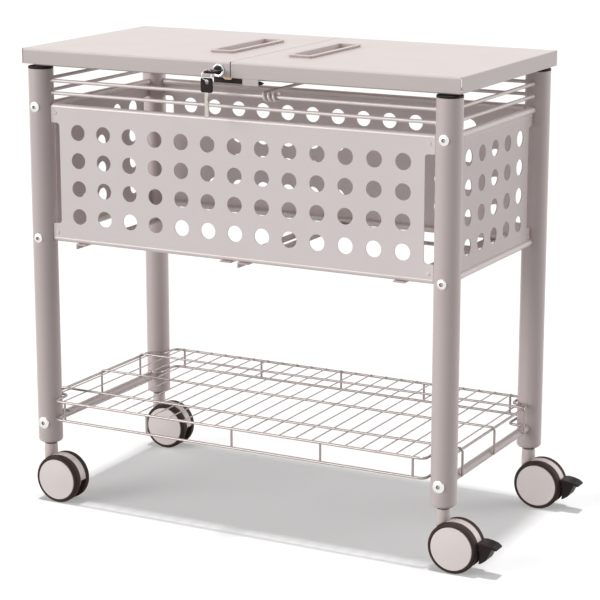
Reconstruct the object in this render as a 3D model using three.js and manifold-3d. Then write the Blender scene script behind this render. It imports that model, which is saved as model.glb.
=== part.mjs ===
// Mobile file cart: a perforated basket on four legs, a wire shelf, two sliding lids, twin-wheel casters.
// Millimetres, Z up, the front faces -Y and the right side faces +X.
import * as THREE from 'three';
import { mergeVertices } from 'three/addons/utils/BufferGeometryUtils.js';
import Module from 'manifold-3d';

const wasm = await Module();
wasm.setup();

// Legs, measured between their axes
const LEG_SPAN_X = 672;
const LEG_SPAN_Y = 322;
const LEG_DIAMETER = 38;
const LEG_WALL = 1.6;
const LEG_LENGTH = 584;
const LEG_END_RADIUS = 5;
const LEG_SOCKET_HEIGHT = 30;
const LEG_SIDES = 20;
const WELD_GAP = 0.1;

// Plugs in the leg tops
const CAP_FLANGE = 3.5;
const CAP_DEPTH = 14;
const CAP_CLEARANCE = 0.3;

// Rods and perforated panels, measured down from the leg tops
const ROD_DIAMETER = 5.5;
const ROD_DROP = 18;
const ROD_PITCH = 18.5;
const PANEL_TOP_DROP = 57;
const PANEL_BAR_SPAN = 201;
const PANEL_BAR_DIAMETER = 10;
const PANEL_SHEET = 1.5;
const PANEL_BAR_PROUD = 0.25;
const PANEL_HOLE_DIAMETER = 24;
const PANEL_HOLE_SIDES = 8;
const PANEL_COLUMN_PITCH = 44.5;
const PANEL_ROW_PITCH = 41;
const PANEL_COLUMN_MARGIN = 33;
const PANEL_ROW_MARGIN = 36.5;
const PANEL_NOTCH_DEPTH = 15;
const PANEL_NOTCH_RADIUS = 6;
const PANEL_EAR = 23.5;

// Straps under the basket
const RACK_INNER = 14.5;
const RACK_LEG_MARGIN = 51.4;
const RACK_STRAP_WIDTH = 18;
const RACK_STRAP_SHEET = 2;
const RACK_FLANGE = 8;
const RACK_OVERHANG = 8;
const RACK_CROSS_SPAN = 180;

// Wire shelf and the stretchers that carry it
const STRETCHER_DIAMETER = 13;
const STRETCHER_DROP = 551.5;
const RIM_WIRE = 4.5;
const RIM_DEPTH = 29.5;
const RIM_REACH = 18.5;
const RIM_CORNER = 12;
const STRUT_WIRE = 4;
const STRUT_MARGIN = 19;
const STRUT_COUNT = 5;
const LONG_WIRE_MARGIN = 17;
const LONG_WIRE_FOOT = 0.5;
const LONG_WIRE_BEND = 6;
const CROSS_WIRE = 2.4;
const CROSS_WIRE_PITCH = 27;
const WIRE_GAP = 0.3;
const WIRE_WELD = 1;

// Lids and the rails they slide on
const LID_OVERHANG_X = 24;
const LID_OVERHANG_Y = 14;
const LID_SHEET = 1.2;
const LID_APRON = 23;
const LID_APRON_GAP = 3.5;
const LID_SEAM = 1.5;
const LID_SEAM_FLANGE = 12;
const LID_SLIT = 1;
const RAIL_SHEET = 1.5;
const RAIL_OUTER_OFFSET = 1;
const RAIL_FLANGE = 14;
const RAIL_END_GAP = 8.8;
const RAIL_CLEARANCE = 0.3;
const GUIDE_CLEARANCE = 1.8;
const GUIDE_FOOT = 8;

// Pulls in the lids
const PULL_WIDTH = 41;
const PULL_LENGTH = 167;
const PULL_FORWARD = 6;
const PULL_BEZEL = 4;
const PULL_BEZEL_RIM = 4;
const PULL_WALL = 2;
const PULL_DEPTH = 14;
const PULL_CORNER = 4;
const PULL_FROM_SEAM = 44;
const PULL_CLEARANCE = 0.3;

// Lock, its cam and keeper
const LOCK_FROM_SEAM = 18.2;
const LOCK_DROP = 13.2;
const LOCK_FACE_DIAMETER = 19;
const LOCK_FACE = 2.5;
const LOCK_BODY_DIAMETER = 15;
const LOCK_PLUG_DIAMETER = 11;
const LOCK_CLEARANCE = 0.3;
const LOCK_FINGER = 1.5;
const FINGER_START = 8.5;
const FINGER_REACH = 20.5;
const FINGER_DROP = 13;
const FINGER_TIP = 4;
const CAM_THICKNESS = 2;
const CAM_GAP = 1.1;
const CAM_RADIUS = 15.5;
const CAM_REACH = 71.5;
const CAM_ARM = 5.5;
const CAM_SECTOR = 135;
const KEEPER_FROM_SEAM = 18;
const KEEPER_WIDTH = 26;
const KEEPER_DROP = 33;
const KEEPER_SHEET = 2;
const KEEPER_WELD = 7;

// Keys and their ring
const KEY_BOW_WIDTH = 19;
const KEY_BOW_LENGTH = 21;
const KEY_BOW_THICKNESS = 3.2;
const KEY_BOW_CORNER = 4;
const KEY_BLADE_WIDTH = 6.5;
const KEY_BLADE_THICKNESS = 2.2;
const KEY_BLADE_LENGTH = 24;
const SPARE_BLADE_LENGTH = 32;
const KEY_STANDOFF = 4.6;
const KEY_HOLE_DIAMETER = 7.2;
const KEY_HOLE_SIDES = 12;
const KEY_HOLE_EDGE = 5.5;
const RING_RADIUS = 10;
const RING_WIRE = 1.8;
const RING_CLEARANCE = 0.5;
const RING_LEAN = 36;

// Cross rail for files, wound round the top rods at both ends
const FILE_RAIL_X = 47;
const FILE_RAIL_WIRE = 4;
const FILE_RAIL_TURNS = 3;
const FILE_RAIL_PITCH = 6;
const FILE_RAIL_CLEARANCE = 0.6;

// Casters
const CASTER_NECK = 19;
const CASTER_TRAIL = 21;
const WHEEL_DIAMETER = 75;
const WHEEL_WIDTH = 11;
const WHEEL_EDGE = 4.5;
const WHEEL_DOME = 1.2;
const WHEEL_TYRE = 4;
const WHEEL_BORE_WALL = 2;
const WHEEL_GAP = 0.5;
const WHEEL_SIDES = 20;
const HOOD_THICKNESS = 16;
const LUG_THICKNESS = 11;
const HOOD_RISE = 0.3;
const NECK_DIAMETER = 21;
const NECK_OVERLAP = 20;
const NECK_WHEEL_GAP = 1;
const AXLE_DIAMETER = 6;
const AXLE_CLEARANCE = 0.25;
const AXLE_FIT = 0.1;
const STEM_DIAMETER = 10;
const STEM_DEPTH = 17;
const STEM_LENGTH = 28;
const STEM_WASHER = 1.4;
const STEM_WASHER_DIAMETER = 20;
const STEM_CLEARANCE = 0.25;
const PEDAL_PIVOT_ANGLE = 12;
const PEDAL_PIVOT_OFFSET = 7;
const PEDAL_LUG_RADIUS = 4.5;
const PEDAL_PIN_DIAMETER = 4;
const PEDAL_CLEARANCE = 0.6;
const PEDAL_LENGTH = 22.5;
const PEDAL_DROP = 24;
const PEDAL_WIDTH = 27;
const PEDAL_WHEEL_GAP = 6;
const PEDAL_CREST = 2;
const PEDAL_TIP = 3.5;

// How far a cutting tool passes the face it cuts
const CUT = 5;

// Places that several pieces share
const legX = LEG_SPAN_X / 2;
const legY = LEG_SPAN_Y / 2;
const legR = LEG_DIAMETER / 2;
const casterHeight = WHEEL_DIAMETER + CASTER_NECK;
const legTop = casterHeight + LEG_LENGTH;
const innerX = legX - legR - WELD_GAP;
const innerY = legY - legR - WELD_GAP;
const rodZ = legTop - ROD_DROP;
const panelTopZ = legTop - PANEL_TOP_DROP;
const panelBottomZ = panelTopZ - PANEL_BAR_SPAN;
const stretcherZ = legTop - STRETCHER_DROP;
const capTop = legTop + CAP_FLANGE;
const lidTop = capTop + LID_APRON_GAP + LID_APRON;
const lidX = legX + LID_OVERHANG_X;
const lidY = legY + LID_OVERHANG_Y;
const railOuterY = legY - RAIL_OUTER_OFFSET;
const railInnerY = railOuterY - RAIL_FLANGE;
const railTop = lidTop - LID_SHEET - RAIL_CLEARANCE;
const guideY = railInnerY - GUIDE_CLEARANCE;
const wheelR = WHEEL_DIAMETER / 2;

// Finishes
const POWDER = { color: 0xcdc6c4, roughness: 0.45, metalness: 0.25 };
const WIRE = { color: 0xd4cfcc, roughness: 0.35, metalness: 0.5 };
const BLACK = { color: 0x1d1a1b, roughness: 0.5, metalness: 0 };
const TYRE = { color: 0x3c3432, roughness: 0.7, metalness: 0 };
const ZINC = { color: 0xc9c9c6, roughness: 0.3, metalness: 0.9 };
const CHROME = { color: 0xe2e2e4, roughness: 0.12, metalness: 1 };
const BRASS = { color: 0xc9a660, roughness: 0.3, metalness: 0.9 };

// Closed geometry to a solid, and back
function solid(geometry) {
  const plain = geometry.clone();
  plain.deleteAttribute('normal');
  plain.deleteAttribute('uv');
  const joined = mergeVertices(plain, 1e-4);
  const index = joined.index.array;
  const triangles = [];
  for (let i = 0; i < index.length; i += 3) {
    const [a, b, c] = [index[i], index[i + 1], index[i + 2]];
    if (a !== b && b !== c && c !== a) triangles.push(a, b, c);
  }
  return new wasm.Manifold(new wasm.Mesh({
    numProp: 3,
    vertProperties: new Float32Array(joined.attributes.position.array),
    triVerts: new Uint32Array(triangles),
  }));
}

function surface(shape) {
  const { vertProperties, triVerts } = shape.getMesh();
  const geometry = new THREE.BufferGeometry();
  geometry.setAttribute('position', new THREE.BufferAttribute(vertProperties, 3));
  geometry.setIndex(new THREE.BufferAttribute(triVerts, 1));
  geometry.computeVertexNormals();
  return geometry;
}

function union(shapes) {
  return wasm.Manifold.union(shapes);
}

// Basic forms
function block(x0, x1, y0, y1, z0, z1) {
  const geometry = new THREE.BoxGeometry(Math.abs(x1 - x0), Math.abs(y1 - y0), Math.abs(z1 - z0));
  return solid(geometry.translate((x0 + x1) / 2, (y0 + y1) / 2, (z0 + z1) / 2));
}

function bar(from, to, radius, sides) {
  const a = new THREE.Vector3(...from);
  const b = new THREE.Vector3(...to);
  const along = b.clone().sub(a);
  const geometry = new THREE.CylinderGeometry(radius, radius, along.length(), sides);
  const turn = new THREE.Quaternion().setFromUnitVectors(new THREE.Vector3(0, 1, 0), along.normalize());
  geometry.applyQuaternion(turn);
  const middle = a.lerp(b, 0.5);
  return solid(geometry.translate(middle.x, middle.y, middle.z));
}

// A profile of [radius, height] pairs turned about Y, listed outward at the bottom, then up
function turnedAcross(profile, sides) {
  const points = [...profile, profile[0]].map(([r, y]) => new THREE.Vector2(r, y));
  return solid(new THREE.LatheGeometry(points, sides));
}

function turnedUpright(profile, sides) {
  return turnedAcross(profile, sides).rotate([90, 0, 0]);
}

function polygon(points) {
  return new THREE.Shape(points.map(([x, y]) => new THREE.Vector2(x, y)));
}

function circlePoints(x, y, radius, sides) {
  const points = [];
  for (let i = 0; i < sides; i += 1) {
    const a = (2 * Math.PI * (i + 0.5)) / sides;
    points.push(new THREE.Vector2(x + radius * Math.cos(a), y + radius * Math.sin(a)));
  }
  return points;
}

function roundedRectangle(width, height, radius) {
  const w = width / 2;
  const h = height / 2;
  const shape = new THREE.Shape();
  shape.absarc(w - radius, h - radius, radius, 0, Math.PI / 2);
  shape.absarc(radius - w, h - radius, radius, Math.PI / 2, Math.PI);
  shape.absarc(radius - w, radius - h, radius, Math.PI, 1.5 * Math.PI);
  shape.absarc(w - radius, radius - h, radius, 1.5 * Math.PI, 2 * Math.PI);
  return shape;
}

// A flat shape given thickness upward, or stood up in the XZ plane from y0 to y1
function slab(shape, z0, z1, curveSegments = 4) {
  const options = { depth: z1 - z0, bevelEnabled: false, curveSegments };
  return solid(new THREE.ExtrudeGeometry(shape, options).translate(0, 0, z0));
}

function standing(shape, y0, y1, curveSegments = 4) {
  const options = { depth: y1 - y0, bevelEnabled: false, curveSegments };
  return solid(new THREE.ExtrudeGeometry(shape, options).rotateX(Math.PI / 2).translate(0, y1, 0));
}

// Bent wires
class Route extends THREE.Curve {
  constructor(points, closed) {
    super();
    this.points = points;
    this.closed = closed;
  }

  place(t) {
    const count = this.closed ? this.points.length : this.points.length - 1;
    return Math.round(t * count) % this.points.length;
  }

  neighbour(i, step) {
    const last = this.points.length - 1;
    if (this.closed) return this.points[(i + step + this.points.length) % this.points.length];
    return this.points[Math.min(last, Math.max(0, i + step))];
  }

  getPointAt(t, target = new THREE.Vector3()) {
    return target.copy(this.points[this.place(t)]);
  }

  getTangentAt(t, target = new THREE.Vector3()) {
    const i = this.place(t);
    const before = this.points[i].clone().sub(this.neighbour(i, -1)).normalize();
    const after = this.neighbour(i, 1).clone().sub(this.points[i]).normalize();
    return target.copy(before).add(after).normalize();
  }
}

function wire(points, radius, sides) {
  const section = new THREE.Shape(circlePoints(0, 0, radius, sides));
  const extrudePath = new Route(points, false);
  const options = { steps: points.length - 1, bevelEnabled: false, extrudePath };
  return solid(new THREE.ExtrudeGeometry(section, options));
}

function wireLoop(points, radius, sides) {
  return solid(new THREE.TubeGeometry(new Route(points, true), points.length, radius, sides, true));
}

function roundedRoute(corners, radius, closed) {
  const points = [];
  corners.forEach((corner, i) => {
    const here = new THREE.Vector3(...corner);
    const isEnd = !closed && (i === 0 || i === corners.length - 1);
    if (isEnd) {
      points.push(here);
      return;
    }
    const before = new THREE.Vector3(...corners[(i - 1 + corners.length) % corners.length]);
    const after = new THREE.Vector3(...corners[(i + 1) % corners.length]);
    const start = before.sub(here).normalize().multiplyScalar(radius).add(here);
    const end = after.sub(here).normalize().multiplyScalar(radius).add(here);
    const bend = new THREE.QuadraticBezierCurve3(start, here, end);
    points.push(...bend.getPoints(3));
  });
  return points;
}

// The scene graph
const cart = new THREE.Group();
cart.name = 'mobile_file_cart';

function group(parent, x, y, z) {
  const child = new THREE.Group();
  child.position.set(x, y, z);
  parent.add(child);
  return child;
}

function piece(parent, name, shape, finish) {
  const mesh = new THREE.Mesh(surface(shape), new THREE.MeshStandardMaterial(finish));
  mesh.name = name;
  parent.add(mesh);
}

const CORNERS = [
  { name: 'front_left', sx: -1, sy: -1 },
  { name: 'front_right', sx: 1, sy: -1 },
  { name: 'rear_left', sx: -1, sy: 1 },
  { name: 'rear_right', sx: 1, sy: 1 },
];

// Legs, hollow above a socket that takes the caster stem
function legShape() {
  const bore = STEM_DIAMETER / 2 + STEM_CLEARANCE;
  const inner = legR - LEG_WALL;
  const e = LEG_END_RADIUS;
  const c = e * (1 - Math.SQRT1_2);
  return turnedUpright([
    [bore, 0],
    [legR - e, 0],
    [legR - c, c],
    [legR, e],
    [legR, LEG_LENGTH],
    [inner, LEG_LENGTH],
    [inner, LEG_SOCKET_HEIGHT],
    [bore, LEG_SOCKET_HEIGHT],
  ], LEG_SIDES);
}

function capShape() {
  const plug = legR - LEG_WALL - CAP_CLEARANCE;
  return turnedUpright([
    [0, -CAP_DEPTH],
    [plug, -CAP_DEPTH],
    [plug, 0],
    [legR, 0],
    [legR, CAP_FLANGE],
    [0, CAP_FLANGE],
  ], LEG_SIDES);
}

for (const { name, sx, sy } of CORNERS) {
  const foot = group(cart, sx * legX, sy * legY, casterHeight);
  piece(foot, `leg_${name}`, legShape(), POWDER);
  piece(group(foot, 0, 0, LEG_LENGTH), `leg_cap_${name}`, capShape(), BLACK);
}

// Perforated panel in the XZ plane, its bottom bar on z = 0; out is the side of the bars that the sheet is on
function panelShape(half, out) {
  const inside = half - PANEL_NOTCH_DEPTH;
  const r = PANEL_NOTCH_RADIUS;
  const low = PANEL_EAR;
  const high = PANEL_BAR_SPAN - PANEL_EAR;
  const outline = new THREE.Shape();
  outline.moveTo(-half, 0);
  outline.lineTo(half, 0);
  outline.lineTo(half, low);
  outline.lineTo(inside + r, low);
  outline.quadraticCurveTo(inside, low, inside, low + r);
  outline.lineTo(inside, high - r);
  outline.quadraticCurveTo(inside, high, inside + r, high);
  outline.lineTo(half, high);
  outline.lineTo(half, PANEL_BAR_SPAN);
  outline.lineTo(-half, PANEL_BAR_SPAN);
  outline.lineTo(-half, high);
  outline.lineTo(-inside - r, high);
  outline.quadraticCurveTo(-inside, high, -inside, high - r);
  outline.lineTo(-inside, low + r);
  outline.quadraticCurveTo(-inside, low, -inside - r, low);
  outline.lineTo(-half, low);
  const width = 2 * (inside - PANEL_COLUMN_MARGIN);
  const height = PANEL_BAR_SPAN - 2 * PANEL_ROW_MARGIN;
  const columns = Math.floor(width / PANEL_COLUMN_PITCH);
  const rows = Math.floor(height / PANEL_ROW_PITCH);
  for (let i = 0; i <= columns; i += 1) {
    for (let j = 0; j <= rows; j += 1) {
      const x = -width / 2 + (width * i) / columns;
      const z = PANEL_ROW_MARGIN + (height * j) / rows;
      outline.holes.push(new THREE.Path(circlePoints(x, z, PANEL_HOLE_DIAMETER / 2, PANEL_HOLE_SIDES)));
    }
  }
  const barR = PANEL_BAR_DIAMETER / 2;
  const sheetY = out * (barR - PANEL_BAR_PROUD - PANEL_SHEET / 2);
  const sheet = standing(outline, sheetY - PANEL_SHEET / 2, sheetY + PANEL_SHEET / 2, 3);
  const bottom = bar([-half, 0, 0], [half, 0, 0], barR, 12);
  const top = bar([-half, 0, PANEL_BAR_SPAN], [half, 0, PANEL_BAR_SPAN], barR, 12);
  return union([sheet, bottom, top]);
}

function rodShape(half) {
  return bar([-half, 0, 0], [half, 0, 0], ROD_DIAMETER / 2, 12);
}

const WALLS = [
  { name: 'front', half: innerX, x: 0, y: -legY, turn: 0, out: -1 },
  { name: 'rear', half: innerX, x: 0, y: legY, turn: 0, out: 1 },
  { name: 'left', half: innerY, x: -legX, y: 0, turn: Math.PI / 2, out: 0 },
  { name: 'right', half: innerY, x: legX, y: 0, turn: Math.PI / 2, out: 0 },
];

for (const { name, half, x, y, turn, out } of WALLS) {
  const wall = group(cart, x, y, 0);
  wall.rotation.z = turn;
  piece(group(wall, 0, 0, panelBottomZ), `panel_${name}`, panelShape(half, out), POWDER);
  piece(group(wall, 0, 0, rodZ), `rod_upper_${name}`, rodShape(half), WIRE);
  piece(group(wall, 0, 0, rodZ - ROD_PITCH), `rod_lower_${name}`, rodShape(half), WIRE);
}

// Straps that hang from the bottom bars, the left one with a turned-down edge
const rackOuter = innerX - RACK_LEG_MARGIN;
const rackSpan = rackOuter - RACK_INNER;
const rackCentre = (rackOuter + RACK_INNER) / 2;

function rackShape() {
  const x = rackSpan / 2;
  const w = RACK_STRAP_WIDTH / 2;
  const y = legY + RACK_OVERHANG;
  const t = RACK_STRAP_SHEET;
  const cross = RACK_CROSS_SPAN / 2;
  return union([
    block(-x - w, -x + w, -y, y, -t, 0),
    block(x - w, x + w, -y, y, -t, 0),
    block(-x - w, -x - w + t, -y, y, -RACK_FLANGE, 0),
    block(-x, x, -cross - w, -cross + w, -t, 0),
    block(-x, x, cross - w, cross + w, -t, 0),
  ]);
}

const rackZ = panelBottomZ - PANEL_BAR_DIAMETER / 2 - WELD_GAP;
piece(group(cart, -rackCentre, 0, rackZ), 'floor_rack_left', rackShape(), POWDER);
piece(group(cart, rackCentre, 0, rackZ), 'floor_rack_right', rackShape(), POWDER);

// Stretchers between the front and rear legs
for (const [name, side] of [['left', -1], ['right', 1]]) {
  const tube = bar([0, -innerY, 0], [0, innerY, 0], STRETCHER_DIAMETER / 2, 12);
  piece(group(cart, side * legX, 0, stretcherZ), `stretcher_${name}`, tube, POWDER);
}

// Wire shelf: an upper rim that steps round the legs, lower wires that rest on the stretchers,
// and long wires that pass over the rim and bend down at both ends
function shelfShape() {
  const rimR = RIM_WIRE / 2;
  const strutR = STRUT_WIRE / 2;
  const crossR = CROSS_WIRE / 2;
  const stretcherR = STRETCHER_DIAMETER / 2;
  const lowZ = stretcherR + rimR + WIRE_GAP;
  const highZ = lowZ + RIM_DEPTH;
  const front = legY + RIM_REACH;
  const stepX = legX - legR - rimR - WIRE_GAP;
  const stepY = legY - legR - rimR - WIRE_GAP;
  const footX = legX + stretcherR + strutR + WIRE_GAP;
  const sideX = footX - strutR - rimR + WIRE_WELD / 2;
  const strutX = stepX - STRUT_MARGIN;
  const longY = stepY - LONG_WIRE_MARGIN;
  const parts = [];
  const rim = [
    [-stepX, -front, highZ],
    [stepX, -front, highZ],
    [stepX, -stepY, highZ],
    [sideX, -stepY, highZ],
    [sideX, stepY, highZ],
    [stepX, stepY, highZ],
    [stepX, front, highZ],
    [-stepX, front, highZ],
    [-stepX, stepY, highZ],
    [-sideX, stepY, highZ],
    [-sideX, -stepY, highZ],
    [-stepX, -stepY, highZ],
  ];
  parts.push(wireLoop(roundedRoute(rim, RIM_CORNER, true), rimR, 6));
  for (const s of [-1, 1]) {
    const lower = [
      [-legX, s * (stepY - RIM_CORNER), lowZ],
      [-stepX, s * (stepY - RIM_CORNER), lowZ],
      [-stepX, s * front, lowZ],
      [stepX, s * front, lowZ],
      [stepX, s * (stepY - RIM_CORNER), lowZ],
      [legX, s * (stepY - RIM_CORNER), lowZ],
    ];
    parts.push(wire(roundedRoute(lower, RIM_CORNER, false), rimR, 6));
    for (let i = 0; i < STRUT_COUNT; i += 1) {
      const x = strutX * ((2 * i) / (STRUT_COUNT - 1) - 1);
      parts.push(bar([x, s * front, lowZ], [x, s * front, highZ], strutR, 6));
    }
  }
  const crossZ = highZ + rimR + crossR - WIRE_WELD;
  const longZ = highZ + rimR + strutR - WIRE_WELD;
  for (const y of [-longY, 0, longY]) {
    const long = [
      [-footX, y, -LONG_WIRE_FOOT],
      [-footX, y, longZ],
      [footX, y, longZ],
      [footX, y, -LONG_WIRE_FOOT],
    ];
    parts.push(wire(roundedRoute(long, LONG_WIRE_BEND, false), strutR, 6));
  }
  const crossCount = Math.floor((stepX - RIM_CORNER) / CROSS_WIRE_PITCH);
  for (let i = -crossCount; i <= crossCount; i += 1) {
    const x = i * CROSS_WIRE_PITCH;
    parts.push(bar([x, -front, crossZ], [x, front, crossZ], crossR, 4));
  }
  const endX = (stepX + sideX) / 2;
  for (const s of [-1, 1]) {
    parts.push(bar([s * endX, -stepY, crossZ], [s * endX, stepY, crossZ], crossR, 4));
  }
  return union(parts);
}

piece(group(cart, 0, 0, stretcherZ), 'wire_shelf', shelfShape(), WIRE);

// Slide rails across the leg tops, open toward the middle of the cart
function railShape(side) {
  const end = lidX - LID_SHEET - RAIL_END_GAP;
  const outer = side * railOuterY;
  const inner = side * railInnerY;
  const web = side * (railOuterY - RAIL_SHEET);
  return union([
    block(-end, end, outer, inner, capTop, capTop + RAIL_SHEET),
    block(-end, end, outer, web, capTop, railTop),
    block(-end, end, outer, inner, railTop - RAIL_SHEET, railTop),
  ]);
}

piece(cart, 'slide_rail_front', railShape(-1), POWDER);
piece(cart, 'slide_rail_rear', railShape(1), POWDER);

// Lids: a folded pan with guide angles that hook under the rails
function lidShape(side) {
  const seam = LID_SEAM / 2;
  const t = LID_SHEET;
  const under = lidTop - t;
  const skirt = lidTop - LID_APRON;
  const x = (distance) => side * distance;
  const parts = [
    block(x(seam), x(lidX), -lidY, lidY, under, lidTop),
    block(x(lidX - t), x(lidX), -lidY, lidY, skirt, lidTop),
    block(x(seam), x(seam + t), -guideY, guideY, lidTop - LID_SEAM_FLANGE, lidTop),
  ];
  const footTop = railTop - RAIL_SHEET - RAIL_CLEARANCE;
  for (const s of [-1, 1]) {
    const tip = guideY + GUIDE_FOOT;
    parts.push(block(x(seam), x(lidX - LID_SLIT - t), s * (lidY - t), s * lidY, skirt, under));
    parts.push(block(x(seam), x(lidX - t), s * lidY, s * (lidY - t), under - t, lidTop));
    parts.push(block(x(seam), x(lidX), s * (guideY - t), s * guideY, footTop - t, lidTop));
    parts.push(block(x(seam), x(lidX), s * (guideY - t), s * tip, footTop - t, footTop));
  }
  const opening = roundedRectangle(
    PULL_WIDTH - 2 * PULL_BEZEL_RIM + 2 * PULL_CLEARANCE,
    PULL_LENGTH - 2 * PULL_BEZEL_RIM + 2 * PULL_CLEARANCE,
    PULL_CORNER,
  );
  const hole = slab(opening, under - t, lidTop + t, 2).translate([x(pullX), -PULL_FORWARD, 0]);
  return union(parts).subtract(hole);
}

const pullX = LID_SEAM / 2 + PULL_FROM_SEAM + PULL_WIDTH / 2;
const lockX = -LID_SEAM / 2 - LOCK_FROM_SEAM;
const lockZ = lidTop - LOCK_DROP;
const lockBodyR = LOCK_BODY_DIAMETER / 2;
const lockHoleR = lockBodyR + LOCK_CLEARANCE;
const lockHole = bar([lockX, -lidY - CUT, lockZ], [lockX, -lidY + CUT, lockZ], lockHoleR, 16);
const apronInside = -lidY + LID_SHEET;
const keeperX = LID_SEAM / 2 + KEEPER_FROM_SEAM;
const keeper = block(
  keeperX,
  keeperX + KEEPER_WIDTH,
  apronInside - LID_SHEET / 2,
  apronInside + KEEPER_SHEET,
  lidTop - KEEPER_DROP,
  lidTop - LID_APRON + KEEPER_WELD,
);
const keeperFree = block(
  keeperX - CUT,
  keeperX + KEEPER_WIDTH + CUT,
  -lidY - CUT,
  apronInside,
  lidTop - KEEPER_DROP - CUT,
  lidTop - LID_APRON,
);
const leftLid = group(cart, 0, 0, 0);
const rightLid = group(cart, 0, 0, 0);
piece(leftLid, 'lid_left', lidShape(-1).subtract(lockHole), POWDER);
piece(rightLid, 'lid_right', union([lidShape(1), keeper.subtract(keeperFree)]), POWDER);

// Pulls: a raised bezel with a cup that drops through the lid
function pullShape() {
  const cupWidth = PULL_WIDTH - 2 * PULL_BEZEL_RIM;
  const cupLength = PULL_LENGTH - 2 * PULL_BEZEL_RIM;
  const bezel = slab(roundedRectangle(PULL_WIDTH, PULL_LENGTH, PULL_CORNER), 0, PULL_BEZEL, 2);
  const cup = slab(roundedRectangle(cupWidth, cupLength, PULL_CORNER), -PULL_DEPTH, PULL_BEZEL / 2, 2);
  const recess = roundedRectangle(cupWidth - 2 * PULL_WALL, cupLength - 2 * PULL_WALL, PULL_CORNER - 1);
  const hollow = slab(recess, -PULL_DEPTH + PULL_WALL, PULL_BEZEL + 1, 2);
  return union([bezel, cup]).subtract(hollow);
}

piece(group(leftLid, -pullX, -PULL_FORWARD, lidTop), 'pull_left', pullShape(), POWDER);
piece(group(rightLid, pullX, -PULL_FORWARD, lidTop), 'pull_right', pullShape(), POWDER);

// Lock, on an axis along Y with its face on the apron
const lock = group(leftLid, lockX, -lidY, lockZ);
const plugR = LOCK_PLUG_DIAMETER / 2;
const faceR = LOCK_FACE_DIAMETER / 2;
const camStart = LID_SHEET + KEEPER_SHEET + CAM_GAP;
const fingerEnd = camStart - WELD_GAP;
const fingerStart = fingerEnd - LOCK_FINGER;
const barrelEnd = fingerStart - LOCK_CLEARANCE;

piece(lock, 'lock_barrel', turnedAcross([
  [plugR + LOCK_CLEARANCE, -LOCK_FACE],
  [faceR - 1, -LOCK_FACE],
  [faceR, -LOCK_FACE + 1],
  [faceR, 0],
  [lockBodyR, 0],
  [lockBodyR, barrelEnd],
  [plugR + LOCK_CLEARANCE, barrelEnd],
], 16), CHROME);

function plugShape() {
  const body = bar([0, -LOCK_FACE + LOCK_CLEARANCE, 0], [0, fingerEnd, 0], plugR, 16);
  const finger = standing(polygon([
    [-plugR, 0],
    [0, -plugR],
    [FINGER_START, -FINGER_DROP],
    [FINGER_REACH - FINGER_TIP / 2, -FINGER_DROP],
    [FINGER_REACH, FINGER_TIP - FINGER_DROP],
    [plugR, 0],
  ]), fingerStart, fingerEnd);
  const keyway = block(
    -KEY_BLADE_WIDTH / 2 - LOCK_CLEARANCE,
    KEY_BLADE_WIDTH / 2 + LOCK_CLEARANCE,
    -LOCK_FACE,
    barrelEnd,
    -KEY_BLADE_THICKNESS / 2 - LOCK_CLEARANCE,
    KEY_BLADE_THICKNESS / 2 + LOCK_CLEARANCE,
  );
  return union([body, finger]).subtract(keyway);
}

// The cam's round lower edge shows under the apron, and its arm reaches behind the keeper
function camShape() {
  const start = (-CAM_SECTOR * Math.PI) / 180;
  const outline = [[0, 0]];
  for (let i = 0; i <= 6; i += 1) {
    const a = start * (1 - i / 6);
    outline.push([CAM_RADIUS * Math.cos(a), CAM_RADIUS * Math.sin(a)]);
  }
  const disc = standing(polygon(outline), 0, CAM_THICKNESS);
  const hub = bar([0, 0, 0], [0, CAM_THICKNESS, 0], plugR, 16);
  const armTop = CAM_ARM / 2 - CAM_RADIUS;
  const arm = standing(polygon([
    [0, armTop],
    [0, armTop - CAM_ARM],
    [CAM_REACH - CAM_ARM, armTop - CAM_ARM],
    [CAM_REACH, armTop - CAM_ARM / 2],
    [CAM_REACH - CAM_ARM, armTop],
  ]), 0, CAM_THICKNESS);
  return union([disc, hub, arm]);
}

piece(lock, 'lock_plug', plugShape(), BRASS);
piece(group(lock, 0, camStart, 0), 'lock_cam', camShape(), BLACK);

// Keys lie flat in the XY plane, the ring hole at the origin and the blade toward +Y
function keyShape(bladeLength) {
  const bow = slab(
    roundedRectangle(KEY_BOW_WIDTH, KEY_BOW_LENGTH, KEY_BOW_CORNER),
    -KEY_BOW_THICKNESS / 2,
    KEY_BOW_THICKNESS / 2,
    3,
  ).translate([0, KEY_BOW_LENGTH / 2 - KEY_HOLE_EDGE, 0]);
  const bowEnd = KEY_BOW_LENGTH - KEY_HOLE_EDGE;
  const blade = block(
    -KEY_BLADE_WIDTH / 2,
    KEY_BLADE_WIDTH / 2,
    bowEnd - 1,
    bowEnd + bladeLength,
    -KEY_BLADE_THICKNESS / 2,
    KEY_BLADE_THICKNESS / 2,
  );
  const holeR = KEY_HOLE_DIAMETER / 2;
  const hole = bar([0, 0, -KEY_BOW_THICKNESS], [0, 0, KEY_BOW_THICKNESS], holeR, KEY_HOLE_SIDES);
  return union([bow, blade]).subtract(hole);
}

// The key in the lock is cut short where its blade ends inside the plug
const keyStart = KEY_HOLE_EDGE - KEY_BOW_LENGTH - KEY_STANDOFF - LOCK_FACE;
const keyHole = group(lock, 0, keyStart, 0);
const bladeEnd = barrelEnd - LOCK_CLEARANCE - keyStart;
const bladeTip = bladeEnd + KEY_BLADE_LENGTH;
const beyond = block(-KEY_BOW_WIDTH, KEY_BOW_WIDTH, bladeEnd, bladeTip, -KEY_BOW_WIDTH, KEY_BOW_WIDTH);
piece(keyHole, 'key', keyShape(KEY_BLADE_LENGTH).subtract(beyond), BLACK);

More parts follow.
